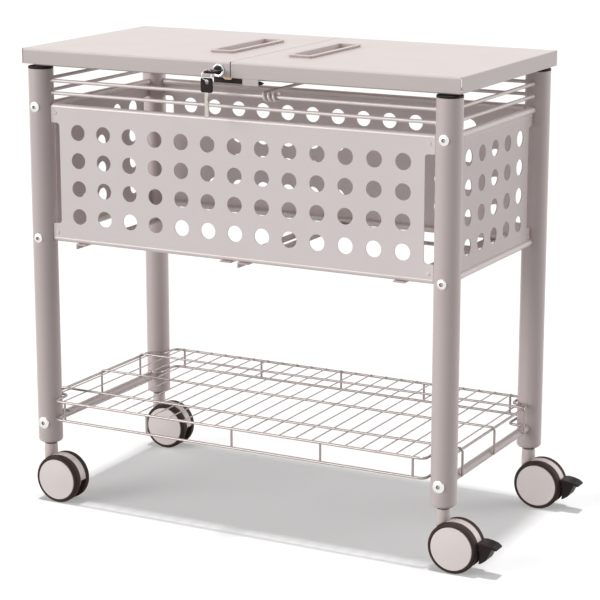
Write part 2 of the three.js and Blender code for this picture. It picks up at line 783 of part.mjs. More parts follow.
// The ring leans out of the key's hole, and the spare key hangs from its lowest point
const lean = (RING_LEAN * Math.PI) / 180;
const ring = group(keyHole, 0, -RING_RADIUS * Math.cos(lean), -RING_RADIUS * Math.sin(lean));
const ringTube = new THREE.TorusGeometry(RING_RADIUS, RING_WIRE / 2, 5, 20).rotateY(Math.PI / 2);
piece(ring, 'key_ring', solid(ringTube), CHROME);
const holeFlat = (KEY_HOLE_DIAMETER / 2) * Math.cos(Math.PI / KEY_HOLE_SIDES);
const hang = holeFlat - RING_WIRE / 2 - RING_CLEARANCE;
const spare = group(ring, 0, 0, -RING_RADIUS - hang);
spare.rotation.x = -Math.PI / 2;
piece(spare, 'spare_key', keyShape(SPARE_BLADE_LENGTH), BLACK);

// File rail: one wire, straight across the cart and wound round both top rods
function fileRailRoute() {
  const coil = ROD_DIAMETER / 2 + FILE_RAIL_CLEARANCE + FILE_RAIL_WIRE / 2;
  const steps = 10;
  const winding = [];
  for (let i = 0; i <= FILE_RAIL_TURNS * steps; i += 1) {
    const a = (2 * Math.PI * i) / steps;
    const x = (FILE_RAIL_PITCH * i) / steps;
    winding.push([x, legY + coil * Math.sin(a), coil * Math.cos(a)]);
  }
  const rear = winding.map(([x, y, z]) => new THREE.Vector3(x, y, z)).reverse();
  const front = winding.map(([x, y, z]) => new THREE.Vector3(x, -y, z));
  return [...rear, ...front];
}

const fileRail = fileRailRoute();
let leastGap = Infinity;
fileRail.forEach((point, i) => {
  for (let j = i + 5; j < fileRail.length; j += 1) {
    leastGap = Math.min(leastGap, point.distanceTo(fileRail[j]) - FILE_RAIL_WIRE);
  }
});
console.log(`file rail: least gap between its own turns ${leastGap.toFixed(2)} mm`);
piece(group(cart, FILE_RAIL_X, 0, rodZ), 'file_rail', wire(fileRail, FILE_RAIL_WIRE / 2, 5), WIRE);

// Casters stand on z = 0 and trail toward +X
const axleR = AXLE_DIAMETER / 2;
const wheelInside = HOOD_THICKNESS / 2 + WHEEL_GAP;
const boreDepth = WHEEL_WIDTH - WHEEL_BORE_WALL;
const hoodR = wheelR + HOOD_RISE;
const pedalReach = wheelR + PEDAL_PIVOT_OFFSET;
const pedalAngle = (PEDAL_PIVOT_ANGLE * Math.PI) / 180;
const pedalX = CASTER_TRAIL + pedalReach * Math.cos(pedalAngle);
const pedalZ = wheelR + pedalReach * Math.sin(pedalAngle);

function wheelShape() {
  const flat = 1 / Math.cos(Math.PI / WHEEL_SIDES);
  const tread = wheelR * flat;
  const bore = axleR + AXLE_CLEARANCE;
  const outside = wheelInside + WHEEL_WIDTH;
  const hub = wheelR - WHEEL_TYRE;
  return turnedAcross([
    [bore, wheelInside],
    [tread, wheelInside],
    [tread, outside - WHEEL_EDGE],
    [hub, outside],
    [0, outside + WHEEL_DOME],
    [0, wheelInside + boreDepth],
    [bore, wheelInside + boreDepth],
  ], WHEEL_SIDES).rotate([0, 180 / WHEEL_SIDES, 0]);
}

function hoodShape(braked) {
  const half = HOOD_THICKNESS / 2;
  const neckR = NECK_DIAMETER / 2;
  const neckTop = casterHeight - STEM_WASHER - STEM_CLEARANCE;
  const behind = Math.acos(Math.max(-1, (-neckR - CASTER_TRAIL) / hoodR));
  const outline = [];
  for (let i = 0; i <= 10; i += 1) {
    const a = (behind * i) / 10;
    outline.push([CASTER_TRAIL + hoodR * Math.cos(a), wheelR + hoodR * Math.sin(a)]);
  }
  outline.push([CASTER_TRAIL - neckR, wheelR - neckR]);
  outline.push([CASTER_TRAIL + neckR, wheelR - neckR]);
  const plate = standing(polygon(outline), -half, half);
  let neck = bar([0, 0, WHEEL_DIAMETER - NECK_OVERLAP], [0, 0, neckTop], neckR, 16);
  for (const s of [-1, 1]) {
    const from = [CASTER_TRAIL, s * half, wheelR];
    const to = [CASTER_TRAIL, s * (half + WHEEL_WIDTH), wheelR];
    neck = neck.subtract(bar(from, to, wheelR + NECK_WHEEL_GAP, 24));
  }
  const parts = [plate, neck];
  if (braked) {
    const lug = PEDAL_LUG_RADIUS;
    const lugHalf = LUG_THICKNESS / 2;
    parts.push(bar([pedalX, -lugHalf, pedalZ], [pedalX, lugHalf, pedalZ], lug, 16));
    parts.push(block(pedalX - 3 * lug, pedalX, -lugHalf, lugHalf, pedalZ - lug, pedalZ + lug));
  }
  const stemR = STEM_DIAMETER / 2 + STEM_CLEARANCE;
  const stemBore = bar([0, 0, neckTop - STEM_DEPTH - STEM_CLEARANCE], [0, 0, neckTop + CUT], stemR, 16);
  const boreR = axleR + AXLE_FIT;
  const axleBore = bar([CASTER_TRAIL, -half - CUT, wheelR], [CASTER_TRAIL, half + CUT, wheelR], boreR, 16);
  const pinR = PEDAL_PIN_DIAMETER / 2 + AXLE_CLEARANCE;
  const pinBore = bar([pedalX, -half - CUT, pedalZ], [pedalX, half + CUT, pedalZ], pinR, 16);
  const body = union(parts).subtract(stemBore).subtract(axleBore);
  return braked ? body.subtract(pinBore) : body;
}

function stemShape() {
  const r = STEM_DIAMETER / 2;
  const washer = STEM_WASHER_DIAMETER / 2;
  return turnedUpright([
    [0, -STEM_WASHER - STEM_DEPTH],
    [r, -STEM_WASHER - STEM_DEPTH],
    [r, -STEM_WASHER],
    [washer, -STEM_WASHER],
    [washer, 0],
    [r, 0],
    [r, STEM_LENGTH],
    [0, STEM_LENGTH],
  ], 12);
}

// Brake pedal about its pin, a wedge that is open round the hood's lug
function pedalShape() {
  const half = PEDAL_WIDTH / 2;
  const lug = PEDAL_LUG_RADIUS;
  const slotR = lug + PEDAL_CLEARANCE;
  const slotHalf = LUG_THICKNESS / 2 + WHEEL_GAP;
  const wedge = standing(polygon([
    [-lug, 0],
    [0, lug + PEDAL_CREST],
    [PEDAL_LENGTH / 2, lug + PEDAL_CREST],
    [PEDAL_LENGTH, PEDAL_TIP / 2],
    [PEDAL_LENGTH, -PEDAL_TIP / 2],
    [0, -PEDAL_DROP],
    [-lug, -PEDAL_DROP],
  ]), -half, half);
  const axleX = CASTER_TRAIL - pedalX;
  const axleZ = wheelR - pedalZ;
  const clear = wheelR + PEDAL_WHEEL_GAP;
  const wheelCut = bar([axleX, -half - CUT, axleZ], [axleX, half + CUT, axleZ], clear, 48);
  const ears = bar([0, -half, 0], [0, half, 0], lug, 16);
  const slot = union([
    bar([0, -slotHalf, 0], [0, slotHalf, 0], slotR, 16),
    block(-3 * lug, 0, -slotHalf, slotHalf, -slotR, slotR + lug),
  ]);
  const pin = bar([0, -half, 0], [0, half, 0], PEDAL_PIN_DIAMETER / 2, 16);
  return union([union([wedge.subtract(wheelCut), ears]).subtract(slot), pin]);
}

for (const { name, sx, sy } of CORNERS) {
  const caster = group(cart, sx * legX, sy * legY, 0);
  const braked = sx > 0;
  piece(caster, `caster_hood_${name}`, hoodShape(braked), POWDER);
  piece(group(caster, 0, 0, casterHeight), `caster_stem_${name}`, stemShape(), BLACK);
  const axle = group(caster, CASTER_TRAIL, 0, wheelR);
  const axleEnd = wheelInside + boreDepth - WHEEL_GAP;
  piece(axle, `axle_${name}`, bar([0, -axleEnd, 0], [0, axleEnd, 0], axleR, 16), ZINC);
  piece(axle, `wheel_${name}_b`, wheelShape(), TYRE);
  const near = group(axle, 0, 0, 0);
  near.rotation.z = Math.PI;
  piece(near, `wheel_${name}_a`, wheelShape(), TYRE);
  if (braked) {
    piece(group(caster, pedalX, 0, pedalZ), `brake_pedal_${name}`, pedalShape(), BLACK);
  }
}

// The origin moves to the middle of the cart's footprint
cart.updateMatrixWorld(true);
const extent = new THREE.Box3().setFromObject(cart, true);
const middle = extent.getCenter(new THREE.Vector3());
cart.position.set(-middle.x, -middle.y, -extent.min.z);

export default cart;
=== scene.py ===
# Mobile file cart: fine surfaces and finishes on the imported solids. Sizes are in millimetres.
import math

import bmesh
import bpy
from mathutils import Matrix, Vector


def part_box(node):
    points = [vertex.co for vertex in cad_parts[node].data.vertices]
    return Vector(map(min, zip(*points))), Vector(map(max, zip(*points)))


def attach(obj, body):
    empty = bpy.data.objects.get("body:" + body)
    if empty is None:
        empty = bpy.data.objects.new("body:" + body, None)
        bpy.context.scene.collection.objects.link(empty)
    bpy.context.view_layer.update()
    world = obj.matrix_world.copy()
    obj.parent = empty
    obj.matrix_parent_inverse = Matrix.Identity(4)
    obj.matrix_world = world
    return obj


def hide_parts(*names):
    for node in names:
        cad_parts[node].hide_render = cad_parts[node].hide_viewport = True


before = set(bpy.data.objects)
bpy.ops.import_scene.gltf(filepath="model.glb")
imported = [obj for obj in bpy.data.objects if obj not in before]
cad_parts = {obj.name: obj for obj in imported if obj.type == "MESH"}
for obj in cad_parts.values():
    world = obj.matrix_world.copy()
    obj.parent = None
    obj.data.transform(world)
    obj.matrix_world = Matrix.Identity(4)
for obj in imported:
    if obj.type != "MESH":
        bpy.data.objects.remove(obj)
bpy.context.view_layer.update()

MM = 0.001
CORNERS = ("front_left", "front_right", "rear_left", "rear_right")
UP = Vector((0, 0, 1))
ACROSS = Vector((1, 0, 0))
DEEP = Vector((0, 1, 0))

# Fineness of round and bent forms, and small distances in joining and cutting meshes
EDGE_STEPS = 3
BEND_STEPS = 6
DOME_STEPS = 8
CORNER_SHARE = 0.49
BEVEL_ANGLE = 40
BEVEL_SEGMENTS = 2
CRISP_ANGLE = 35
MERGE = 0.001
PLATE_MERGE = 0.002
PAST = 1

# Legs, their plugs and the frame bolts
LEG_WALL = 1.6
LEG_END_RADIUS = 5
LEG_SOCKET = 30
LEG_CHAMFER = 0.4
LEG_SIDES = 64
CAP_CLEARANCE = 0.3
CAP_EDGE = 1.2
CAP_LEAD = 1
BOLT_RADII = (7.8, 7.2, 9)
BOLT_HEAD = 1.65
BOLT_RIM = 0.1
BOLT_SUNK = 2.8
BOLT_EDGE = 0.12
SOCKET_RADIUS = 3.3
SOCKET_DEPTH = 2.4
SOCKET_SIDES = 6
SOCKET_RIM = 0.2

# Panels and rods
BAR_RADIUS = 5
BAR_SIDES = 28
BAR_NOSE = 1
ROD_SIDES = 24
PANEL_SHEET = 1.5
PANEL_EDGE = 0.35
PANEL_CORNER = 0.5
BAR_PROUD = 0.25
NOTCH_DEPTH = 15
NOTCH_RADIUS = 6
EAR = 23.5
EAR_CORNER = 2
HOLE_RADIUS = 12
HOLE_STEPS = 32
COLUMN_MARGIN = 33
COLUMN_PITCH = 44.5
ROW_MARGIN = 36.5
ROW_COUNT = 4
RIVET_RADIUS = 3.2
RIVET_HEIGHT = 0.9
RIVET_RIM = 0.4
RIVET_SUNK = 0.3
RIVET_STEPS = 5
RIVET_SIDES = 24
RIVET_INSET = 8
RIVET_DROP = 9
WELD_LENGTH = 2
WELD_RISE = 0.7
WELD_STEPS = 4

# Wire shelf
RIM_RADIUS = 2
RIM_DEPTH = 29.5
RIM_CORNER = 12
RIM_SIDES = 16
STRUT_RADIUS = 1.8
STRUT_COUNT = 5
STRUT_MARGIN = 19
LONG_MARGIN = 23
LONG_BEND = 6
CROSS_RADIUS = 1
CROSS_PITCH = 27
CROSS_OVERHANG = 1
CROSS_SIDES = 10
WIRE_GAP = 0.3
WIRE_WELD = 1

# Lids, pulls and the keeper
LID_SHEET = 1.2
LID_APRON = 23
LID_FOLD = 3.5
LID_SLIT = 1
LID_SETBACK = 0.4
LID_EDGE = 0.25
SEAM_FLANGE = 12
GUIDE_GAP = 1.8
GUIDE_FOOT = 8
RAIL_SHEET = 1.5
RAIL_CLEARANCE = 0.3
PULL_RIM = 4
PULL_WALL = 2
PULL_CORNER = 4
PULL_EDGE = 0.5
PULL_UNDERCUT = 3
PULL_FOOT = 1
PULL_FILLET = 1.5
PULL_TAPER = 0.3
PULL_CLEARANCE = 0.3
KEEPER_FROM_SEAM = 18
KEEPER_WIDTH = 26
KEEPER_SHEET = 2
KEEPER_WELD = 7
KEEPER_CORNER = 2
KEEPER_EDGE = 0.3

# Lock and keys
LOCK_FACE_RADIUS = 9.5
LOCK_BODY_RADIUS = 7.5
LOCK_FACE = 2.5
LOCK_ROUND = 1.2
LOCK_LIP = 0.2
LOCK_CLEARANCE = 0.3
LOCK_SIDES = 64
# The dish round the plug: how far out from the bore, and how deep
LOCK_DISH = ((0, 0.9), (0.5, 0.4), (1, 0.1))
PLUG_RADIUS = 5.5
PLUG_EDGE = 0.4
KEYWAY = 7.1
FINGER_SHEET = 1.5
FINGER_EDGE = 0.25
FINGER_WIDTH = 12
FINGER_ROOT = 1
FINGER_ROUND = 1.5
FINGER_TIP = (2, 4)
CAM_RADIUS = 15.5
CAM_SECTOR = 135
CAM_ARM = 5.5
CAM_EDGE = 0.3
CAM_INSET = 0.05
CAM_RIM_END = -25
CAM_HUB = (-10, 215)
CAM_CORNER = 0.5
CAM_STEPS = 12
ARM_CORNER = 1.2
BOW_WIDTH = 19
BOW_LENGTH = 21
BOW_CORNER = 3
BOW_HALF = 1.6
BOW_EDGE = 0.7
BOW_HOLE_RADIUS = 3.6
BOW_HOLE_EDGE = 5.5
BOW_HOLE_STEPS = 28
BLADE_WIDTH = 6.5
BLADE_SHEET = 2.2
BLADE_EDGE = 0.25
BLADE_ROOT = 1
BLADE_TIP = 2
TIP_SKEW = 0.5
# The cuts of a key: their depths, where they start and the four steps of each along the blade
KEY_CUTS = (1.2, 2.2, 0.8, 1.8, 1.4)
CUT_START = 6
CUT_PITCH = 3.2
CUT_STEPS = (0, 0.9, 1.7, 2.6)
RING_RADIUS = 7.5
RING_WIRE = 0.45
RING_LEAN = 30
RING_TURN = 35
RING_SLACK = 1
RING_STEPS = 96
RING_SIDES = 10
RING_NOSE = 0.15
RING_START = math.pi / 3
# Where in its two turns the ring's wire passes to the other side, and over how much of a turn
RING_CROSSING = 0.9
RING_RAMP = 0.2

# File rail
RAIL_WIRE = 2.3
RAIL_NOSE = 0.6
COIL_CLEARANCE = 0.3
COIL_TURNS = 3
COIL_PITCH = 8
COIL_STEPS = 24

# Casters
WHEEL_INSIDE = 7.5
WHEEL_SHOULDER = 4.5
WHEEL_DOME = 1.2
WHEEL_SIDES = 72
TYRE_LIP = 0.6
TYRE_SEAT = 3
TYRE_SETBACK = 0.2
TYRE_ROUND = 1.4
TYRE_ROUND_END = -8
TYRE_STEPS = 5
TYRE_STRAIGHT = 4
HUB_RADIUS = 32
HUB_GAP = 0.5
HUB_SUNK = 0.3
HUB_DEPTH = 2
HUB_EDGE = 0.9
HUB_EDGE_DROP = 0.6
HUB_EDGE_END = 80
HUB_EDGE_STEPS = 4
HUB_STEPS = 10
HUB_BORE = 3.3
HOOD_HALF = 7
HOOD_RISE = 0.3
HOOD_EDGE = 0.9
BAND_START = 1.5
BAND_STEPS = 40
BAND_TIP = (1.5, 0.6)
LUG_HALF = 5.5
LUG_RADIUS = 3
LUG_STEPS = 12
LUG_INSET = 0.05
NECK_RADIUS = 10.5
NECK_STRAIGHT = 14
NECK_TAPER = 0.5
NECK_EDGE = 0.6
NECK_SIDES = 56
NECK_BASE = 55
NECK_GAP = 1
NECK_SINK = 0.05
COLLAR = 3.3
COLLAR_RADIUS = 10
COLLAR_EDGE = 0.4
COLLAR_GAP = 0.25
STEM_RADIUS = 5
STEM_LEAD = 0.6
STEM_SIDES = 40
STEM_CLEARANCE = 0.25
PEDAL_ANGLE = 12
PEDAL_OFFSET = 7
PEDAL_CLEARANCE = 0.6
PEDAL_WHEEL_GAP = 1
PEDAL_TRAVEL = 10
PEDAL_SINK = 2
PEDAL_HEEL = 3
PEDAL_EDGE = 0.25
PAD_BACK = 7
PAD_ROUND = 1.2
BLOCK_HALF = 12
BLOCK_CORNER = 2.5
SWEEP_SIDES = 96
HINGE_WALL = 0.8
HINGE_INSET = 0.6
HINGE_SIDES = 32
THROAT_GAP = 0.5
THROAT_MOUTH = 14
THROAT_END = 60
THROAT_STEPS = 16
GROOVE_COUNT = 4
GROOVE_START = 0.32
GROOVE_PITCH = 0.11
GROOVE_WIDTH = 0.9
GROOVE_DEPTH = 1.5
GROOVE_FALL = 3.6
GROOVE_MARGIN = 2.5


def box(node):
    low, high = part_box(node)
    return low / MM, high / MM


def middle(node):
    low, high = box(node)
    return (low + high) / 2


# Lines and frames
def arc(x, y, radius, start, end, steps=6):
    """Points on an arc between two angles in degrees"""
    angles = [math.radians(start + (end - start) * i / steps) for i in range(steps + 1)]
    return [(x + radius * math.cos(a), y + radius * math.sin(a)) for a in angles]


def eased(points, radius, steps=4, closed=True):
    """A line of points with rounded corners"""
    points = [Vector(p) for p in points]
    count = len(points)
    line = []
    for i, here in enumerate(points):
        if not closed and i in (0, count - 1):
            line.append(here)
            continue
        before = points[i - 1] - here
        after = points[(i + 1) % count] - here
        reach = min(radius, before.length * CORNER_SHARE, after.length * CORNER_SHARE)
        start = here + before.normalized() * reach
        end = here + after.normalized() * reach
        for k in range(steps + 1):
            t = k / steps
            line.append(start * (1 - t) ** 2 + here * 2 * t * (1 - t) + end * t * t)
    return line


def rounded_rectangle(half_x, half_y, radius, steps=6):
    quarters = [(1, 1, 0), (-1, 1, 90), (-1, -1, 180), (1, -1, 270)]
    line = []
    for sx, sy, start in quarters:
        line += arc(sx * (half_x - radius), sy * (half_y - radius), radius, start, start + 90, steps)
    return line


def folded(points, radius, sheet):
    """The outline of a bent sheet that lies to the right of a line of points"""
    points = [Vector(p) for p in points]
    steps = [(b - a).normalized() for a, b in zip(points, points[1:])]
    normals = [Vector((d.y, -d.x)) for d in steps]
    inside = []
    for i, point in enumerate(points):
        first = normals[max(i - 1, 0)]
        second = normals[min(i, len(normals) - 1)]
        inside.append(point + (first + second) * (sheet / (1 + first.dot(second))))
    outer = eased(points, radius, closed=False)
    inner = eased(inside, max(radius - sheet, sheet / 4), closed=False)
    return outer + inner[::-1]


def standing(origin, along):
    """A frame with X along a level direction, Y up and Z facing out"""
    turn = Matrix((along, UP, along.cross(UP))).transposed()
    return Matrix.Translation(origin) @ turn.to_4x4()


def aimed(origin, axis):
    """A frame with Z along an axis"""
    side = Vector(axis).orthogonal().normalized()
    turn = Matrix((side, Vector(axis).cross(side), axis)).transposed()
    return Matrix.Translation(origin) @ turn.to_4x4()


# Mesh forms
def skin(bm, rows, closed=False):
    """Faces between rings of vertices, where a ring of one is a pole"""
    pairs = list(zip(rows, rows[1:]))
    if closed:
        pairs.append((rows[-1], rows[0]))
    for a, b in pairs:
        count = max(len(a), len(b))
        for i in range(count if count > 1 else 0):
            j = (i + 1) % count
            around = [a[i % len(a)], a[j % len(a)], b[j % len(b)], b[i % len(b)]]
            bm.faces.new(list(dict.fromkeys(around)))


def loft(bm, rings):
    """A closed body through rings of points"""
    rows = [[bm.verts.new(p) for p in ring] for ring in rings]
    skin(bm, rows)
    bm.faces.new(rows[0])
    bm.faces.new(rows[-1])


def lathe(bm, profile, place, sides=48, closed=False):
    """A profile of radius and height turned about the place's Z"""
    rows = []
    for radius, height in profile:
        count = sides if radius > 0 else 1
        angles = [2 * math.pi * i / count for i in range(count)]
        ring = [Vector((radius * math.cos(a), radius * math.sin(a), height)) for a in angles]
        rows.append([bm.verts.new(place @ point) for point in ring])
    skin(bm, rows, closed)


def cylinder(bm, place, radius, low, high, sides=48):
    lathe(bm, [(0, low), (radius, low), (radius, high), (0, high)], place, sides)


def tube(bm, path, radius, sides=14, closed=False, nose=0.4):
    """A round wire along a path, its free ends eased"""
    points = [Vector(p) for p in path]
    count = len(points)
    tangents = []
    for i in range(count):
        before = points[i - 1] if closed or i else points[i]
        after = points[(i + 1) % count] if closed or i < count - 1 else points[i]
        tangents.append((after - before).normalized())
    normals = [tangents[0].orthogonal().normalized()]
    for a, b in zip(tangents, tangents[1:]):
        normals.append(a.rotation_difference(b) @ normals[-1])
    stations = [(p, t, n, radius) for p, t, n in zip(points, tangents, normals)]
    if not closed:
        start, end = stations[0], stations[-1]
        stations[0] = (start[0] + start[1] * nose, *start[1:])
        stations[-1] = (end[0] - end[1] * nose, *end[1:])
        stations.insert(0, (*start[:3], radius - nose))
        stations.append((*end[:3], radius - nose))
    rows = []
    for point, tangent, normal, size in stations:
        other = tangent.cross(normal)
        angles = [2 * math.pi * i / sides for i in range(sides)]
        ring = [point + (normal * math.cos(a) + other * math.sin(a)) * size for a in angles]
        rows.append([bm.verts.new(p) for p in ring])
    skin(bm, rows, closed)
    if not closed:
        bm.faces.new(rows[0])
        bm.faces.new(rows[-1])


def prism(bm, outline, place, low, high):
    """An outline in the place's XY plane drawn out along its Z"""
    loft(bm, [[place @ Vector((x, y, z)) for x, y in outline] for z in (low, high)])


def slab(bm, low, high):
    """A block between two corners"""
    (x0, y0, z0), (x1, y1, z1) = low, high
    prism(bm, [(x0, y0), (x1, y0), (x1, y1), (x0, y1)], Matrix(), z0, z1)


def plate(bm, outline, holes, place, low, high, edge):
    """A flat sheet with holes and eased edges, in the place's XY plane"""
    curve = bpy.data.curves.new("plate", "CURVE")
    curve.dimensions = "2D"
    curve.fill_mode = "BOTH"
    curve.extrude = (high - low) / 2 - edge
    curve.bevel_depth = edge
    curve.bevel_resolution = 1
    curve.offset = -edge
    for loop in (outline, *holes):
        spline = curve.splines.new("POLY")
        spline.points.add(len(loop) - 1)
        spline.use_cyclic_u = True
        for point, (x, y) in zip(spline.points, loop):
            point.co = (x, y, 0, 1)
    source = bpy.data.objects.new("plate", curve)
    mesh = bpy.data.meshes.new_from_object(source)
    mesh.transform(place @ Matrix.Translation((0, 0, (low + high) / 2)))
    part = bmesh.new()
    part.from_mesh(mesh)
    bmesh.ops.remove_doubles(part, verts=part.verts, dist=PLATE_MERGE)
    part.to_mesh(mesh)
    part.free()
    bm.from_mesh(mesh)
    bpy.data.objects.remove(source)
    bpy.data.meshes.remove(mesh)
    bpy.data.curves.remove(curve)


def combine(body, tool, operation="DIFFERENCE"):
    """One closed body cut by another, or joined to it"""
    objects = []
    for part in (body, tool):
        bmesh.ops.recalc_face_normals(part, faces=part.faces)
        mesh = bpy.data.meshes.new("part")
        part.to_mesh(mesh)
        part.free()
        objects.append(bpy.data.objects.new("part", mesh))
        bpy.context.scene.collection.objects.link(objects[-1])
    change = objects[0].modifiers.new("combine", "BOOLEAN")
    change.operation = operation
    change.solver = "EXACT"
    change.object = objects[1]
    bpy.context.view_layer.update()
    evaluated = objects[0].evaluated_get(bpy.context.evaluated_depsgraph_get())
    result = bmesh.new()
    result.from_mesh(evaluated.to_mesh())
    bmesh.ops.remove_doubles(result, verts=result.verts, dist=MERGE)
    for obj in objects:
        mesh = obj.data
        bpy.data.objects.remove(obj)
        bpy.data.meshes.remove(mesh)
    return result


def soften(obj, edge):
    """Eased edges and even shading"""
    if edge:
        bevel = obj.modifiers.new("edge", "BEVEL")
        bevel.width = edge * MM
        bevel.segments = BEVEL_SEGMENTS
        bevel.limit_method = "ANGLE"
        bevel.angle_limit = math.radians(BEVEL_ANGLE)
    even = obj.modifiers.new("even", "WEIGHTED_NORMAL")
    even.keep_sharp = True


def piece(name, bm, body, materials, replaces=(), edge=0.0, smooth=50):
    """A finished mesh that rides on a body"""
    bmesh.ops.recalc_face_normals(bm, faces=bm.faces)
    if bm.calc_volume(signed=True) < 0:
        bmesh.ops.reverse_faces(bm, faces=bm.faces)
    bmesh.ops.scale(bm, vec=(MM, MM, MM), verts=bm.verts)
    mesh = bpy.data.meshes.new(name)
    bm.to_mesh(mesh)
    bm.free()
    for material in materials:
        mesh.materials.append(material)
    mesh.shade_smooth()
    mesh.set_sharp_from_angle(angle=math.radians(smooth))
    obj = bpy.data.objects.new(name, mesh)
    bpy.context.scene.collection.objects.link(obj)
    soften(obj, edge)
    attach(obj, body)
    if replaces:
        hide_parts(*replaces)
    return obj


# Finishes
def linear(red, green, blue):
    """A colour as seen on screen, in Blender's linear values"""
    values = [v / 255 for v in (red, green, blue)]
    return [v / 12.92 if v <= 0.04045 else ((v + 0.055) / 1.055) ** 2.4 for v in values] + [1]


# How a finish varies: large clouds, fine grain, gloss and relief
CLOUD_SCALE = 14
CLOUD_DETAIL = 6
GRAIN_DETAIL = 3
GRAIN_SHARE = 0.35
GLOSS_SPREAD = 0.2
BUMP_STRENGTH = 0.5


def finish(name, colour, shade, roughness, grain, relief, metallic=0.0, sheen=0.5):
    """A surface whose colour, gloss and relief vary; grain is its size and relief its height"""
    material = bpy.data.materials.new(name)
    material.use_nodes = True
    nodes = material.node_tree.nodes
    link = material.node_tree.links.new
    shader = nodes["Principled BSDF"]
    shader.inputs["Metallic"].default_value = metallic
    shader.inputs["Specular IOR Level"].default_value = sheen
    place = nodes.new("ShaderNodeTexCoord")
    clouds = nodes.new("ShaderNodeTexNoise")
    clouds.inputs["Scale"].default_value = CLOUD_SCALE
    clouds.inputs["Detail"].default_value = CLOUD_DETAIL
    link(place.outputs["Object"], clouds.inputs["Vector"])
    fine = nodes.new("ShaderNodeTexNoise")
    fine.inputs["Scale"].default_value = 1 / (grain * MM)
    fine.inputs["Detail"].default_value = GRAIN_DETAIL
    link(place.outputs["Object"], fine.inputs["Vector"])
    amount = nodes.new("ShaderNodeMix")
    amount.inputs["Factor"].default_value = GRAIN_SHARE
    link(clouds.outputs["Fac"], amount.inputs["A"])
    link(fine.outputs["Fac"], amount.inputs["B"])
    tint = nodes.new("ShaderNodeMix")
    tint.data_type = "RGBA"
    tint.inputs["A"].default_value = linear(*colour)
    tint.inputs["B"].default_value = linear(*shade)
    link(amount.outputs["Result"], tint.inputs["Factor"])
    link(tint.outputs["Result"], shader.inputs["Base Color"])
    gloss = nodes.new("ShaderNodeMapRange")
    gloss.inputs["To Min"].default_value = roughness * (1 - GLOSS_SPREAD)
    gloss.inputs["To Max"].default_value = roughness * (1 + GLOSS_SPREAD)
    link(amount.outputs["Result"], gloss.inputs["Value"])
    link(gloss.outputs["Result"], shader.inputs["Roughness"])
    bump = nodes.new("ShaderNodeBump")
    bump.inputs["Strength"].default_value = BUMP_STRENGTH
    bump.inputs["Distance"].default_value = relief * MM
    link(fine.outputs["Fac"], bump.inputs["Height"])
    link(bump.outputs["Normal"], shader.inputs["Normal"])
    return material


# Colour and shade on screen, roughness, grain and relief, and how metallic and shiny
POWDER = finish("powder_coat", (214, 200, 198), (206, 191, 189), 0.3, 1.1, 0.04)
LID = finish("lid_coat", (213, 202, 199), (207, 195, 192), 0.38, 1.1, 0.04)
# A lighter copy of the powder coat for the front and rear panels: painted light
LIT_PANEL_COAT = finish("panel_coat_painted_light", (236, 226, 225), (229, 218, 217), 0.45, 1.1, 0.05)
# Coat of the rods and file rail, also laid on the panels' rolled bars as a glossier, lighter paint:
# partly a painted highlight
WIRE_AND_BAR_HIGHLIGHT = finish("wire_coat_and_bar_highlight", (236, 225, 222), (224, 212, 209), 0.32, 1.4, 0.04, 0.1)
SHELF = finish("shelf_coat", (186, 174, 171), (168, 156, 153), 0.26, 1.4, 0.04, 0.5)
BLACK = finish("black_plastic", (40, 29, 31), (30, 21, 23), 0.5, 0.7, 0.04, sheen=0.15)
# The stem's dark colour shows only in its collar between leg and neck, where it is painted shade for
# the gap there
STEM_GAP_SHADE = finish("stem_steel_painted_gap_shade", (74, 66, 64), (56, 50, 48), 0.4, 0.6, 0.02, 0.5)
HOOD = finish("grey_plastic", (226, 213, 210), (218, 204, 201), 0.38, 0.9, 0.03)
HUB = finish("pale_plastic", (247, 236, 234), (241, 229, 227), 0.36, 0.9, 0.02)
TYRE = finish("tyre_rubber", (72, 58, 54), (60, 47, 44), 0.7, 0.8, 0.08, sheen=0.15)
ZINC = finish("bright_zinc", (236, 234, 232), (220, 218, 216), 0.24, 0.5, 0.01, 1.0)
CHROME = finish("chrome", (226, 226, 228), (214, 214, 218), 0.12, 0.6, 0.004, 1.0)
BRASS = finish("brass", (246, 216, 168), (232, 200, 150), 0.3, 0.5, 0.02, 1.0)
NICKEL = finish("nickel_silver", (190, 184, 174), (168, 162, 152), 0.24, 0.4, 0.01, 1.0)
# Black oxide of the lock core and cam, and painted shade inside the frame bolts' sockets
OXIDE_AND_SOCKET_SHADE = finish("black_oxide_and_socket_shade", (40, 33, 33), (30, 24, 24), 0.5, 0.6, 0.03, 0.2, 0.2)


# Legs, plugs and caster stems
def leg(corner):
    low, high = box("leg_" + corner)
    place = Matrix.Translation((low + high) / 2 - UP * (high.z - low.z) / 2)
    radius = (high.x - low.x) / 2
    length = high.z - low.z
    e = LEG_END_RADIUS
    bore = STEM_RADIUS + STEM_CLEARANCE
    profile = [
        (bore, 0),
        *arc(radius - e, e, e, -90, 0),
        (radius, length - LEG_CHAMFER),
        (radius - LEG_CHAMFER, length),
        (radius - LEG_WALL, length),
        (radius - LEG_WALL, LEG_SOCKET),
        (bore, LEG_SOCKET),
    ]
    bm = bmesh.new()
    lathe(bm, profile, place, LEG_SIDES, closed=True)
    piece("leg_tube_" + corner, bm, "frame", [POWDER], ["leg_" + corner])


def cap(corner):
    low, high = box("leg_cap_" + corner)
    place = Matrix.Translation(((low.x + high.x) / 2, (low.y + high.y) / 2, 0))
    radius = (high.x - low.x) / 2
    plug = radius - LEG_WALL - CAP_CLEARANCE
    flange = box("leg_" + corner)[1].z + CAP_CLEARANCE / 3
    profile = [
        (0, low.z),
        (plug - CAP_LEAD, low.z),
        (plug, low.z + CAP_LEAD),
        (plug, flange),
        (radius, flange),
        *arc(radius - CAP_EDGE, high.z - CAP_EDGE, CAP_EDGE, 0, 90),
        (0, high.z),
    ]
    bm = bmesh.new()
    lathe(bm, profile, place, LEG_SIDES)
    piece("leg_plug_" + corner, bm, "frame", [BLACK], ["leg_cap_" + corner])


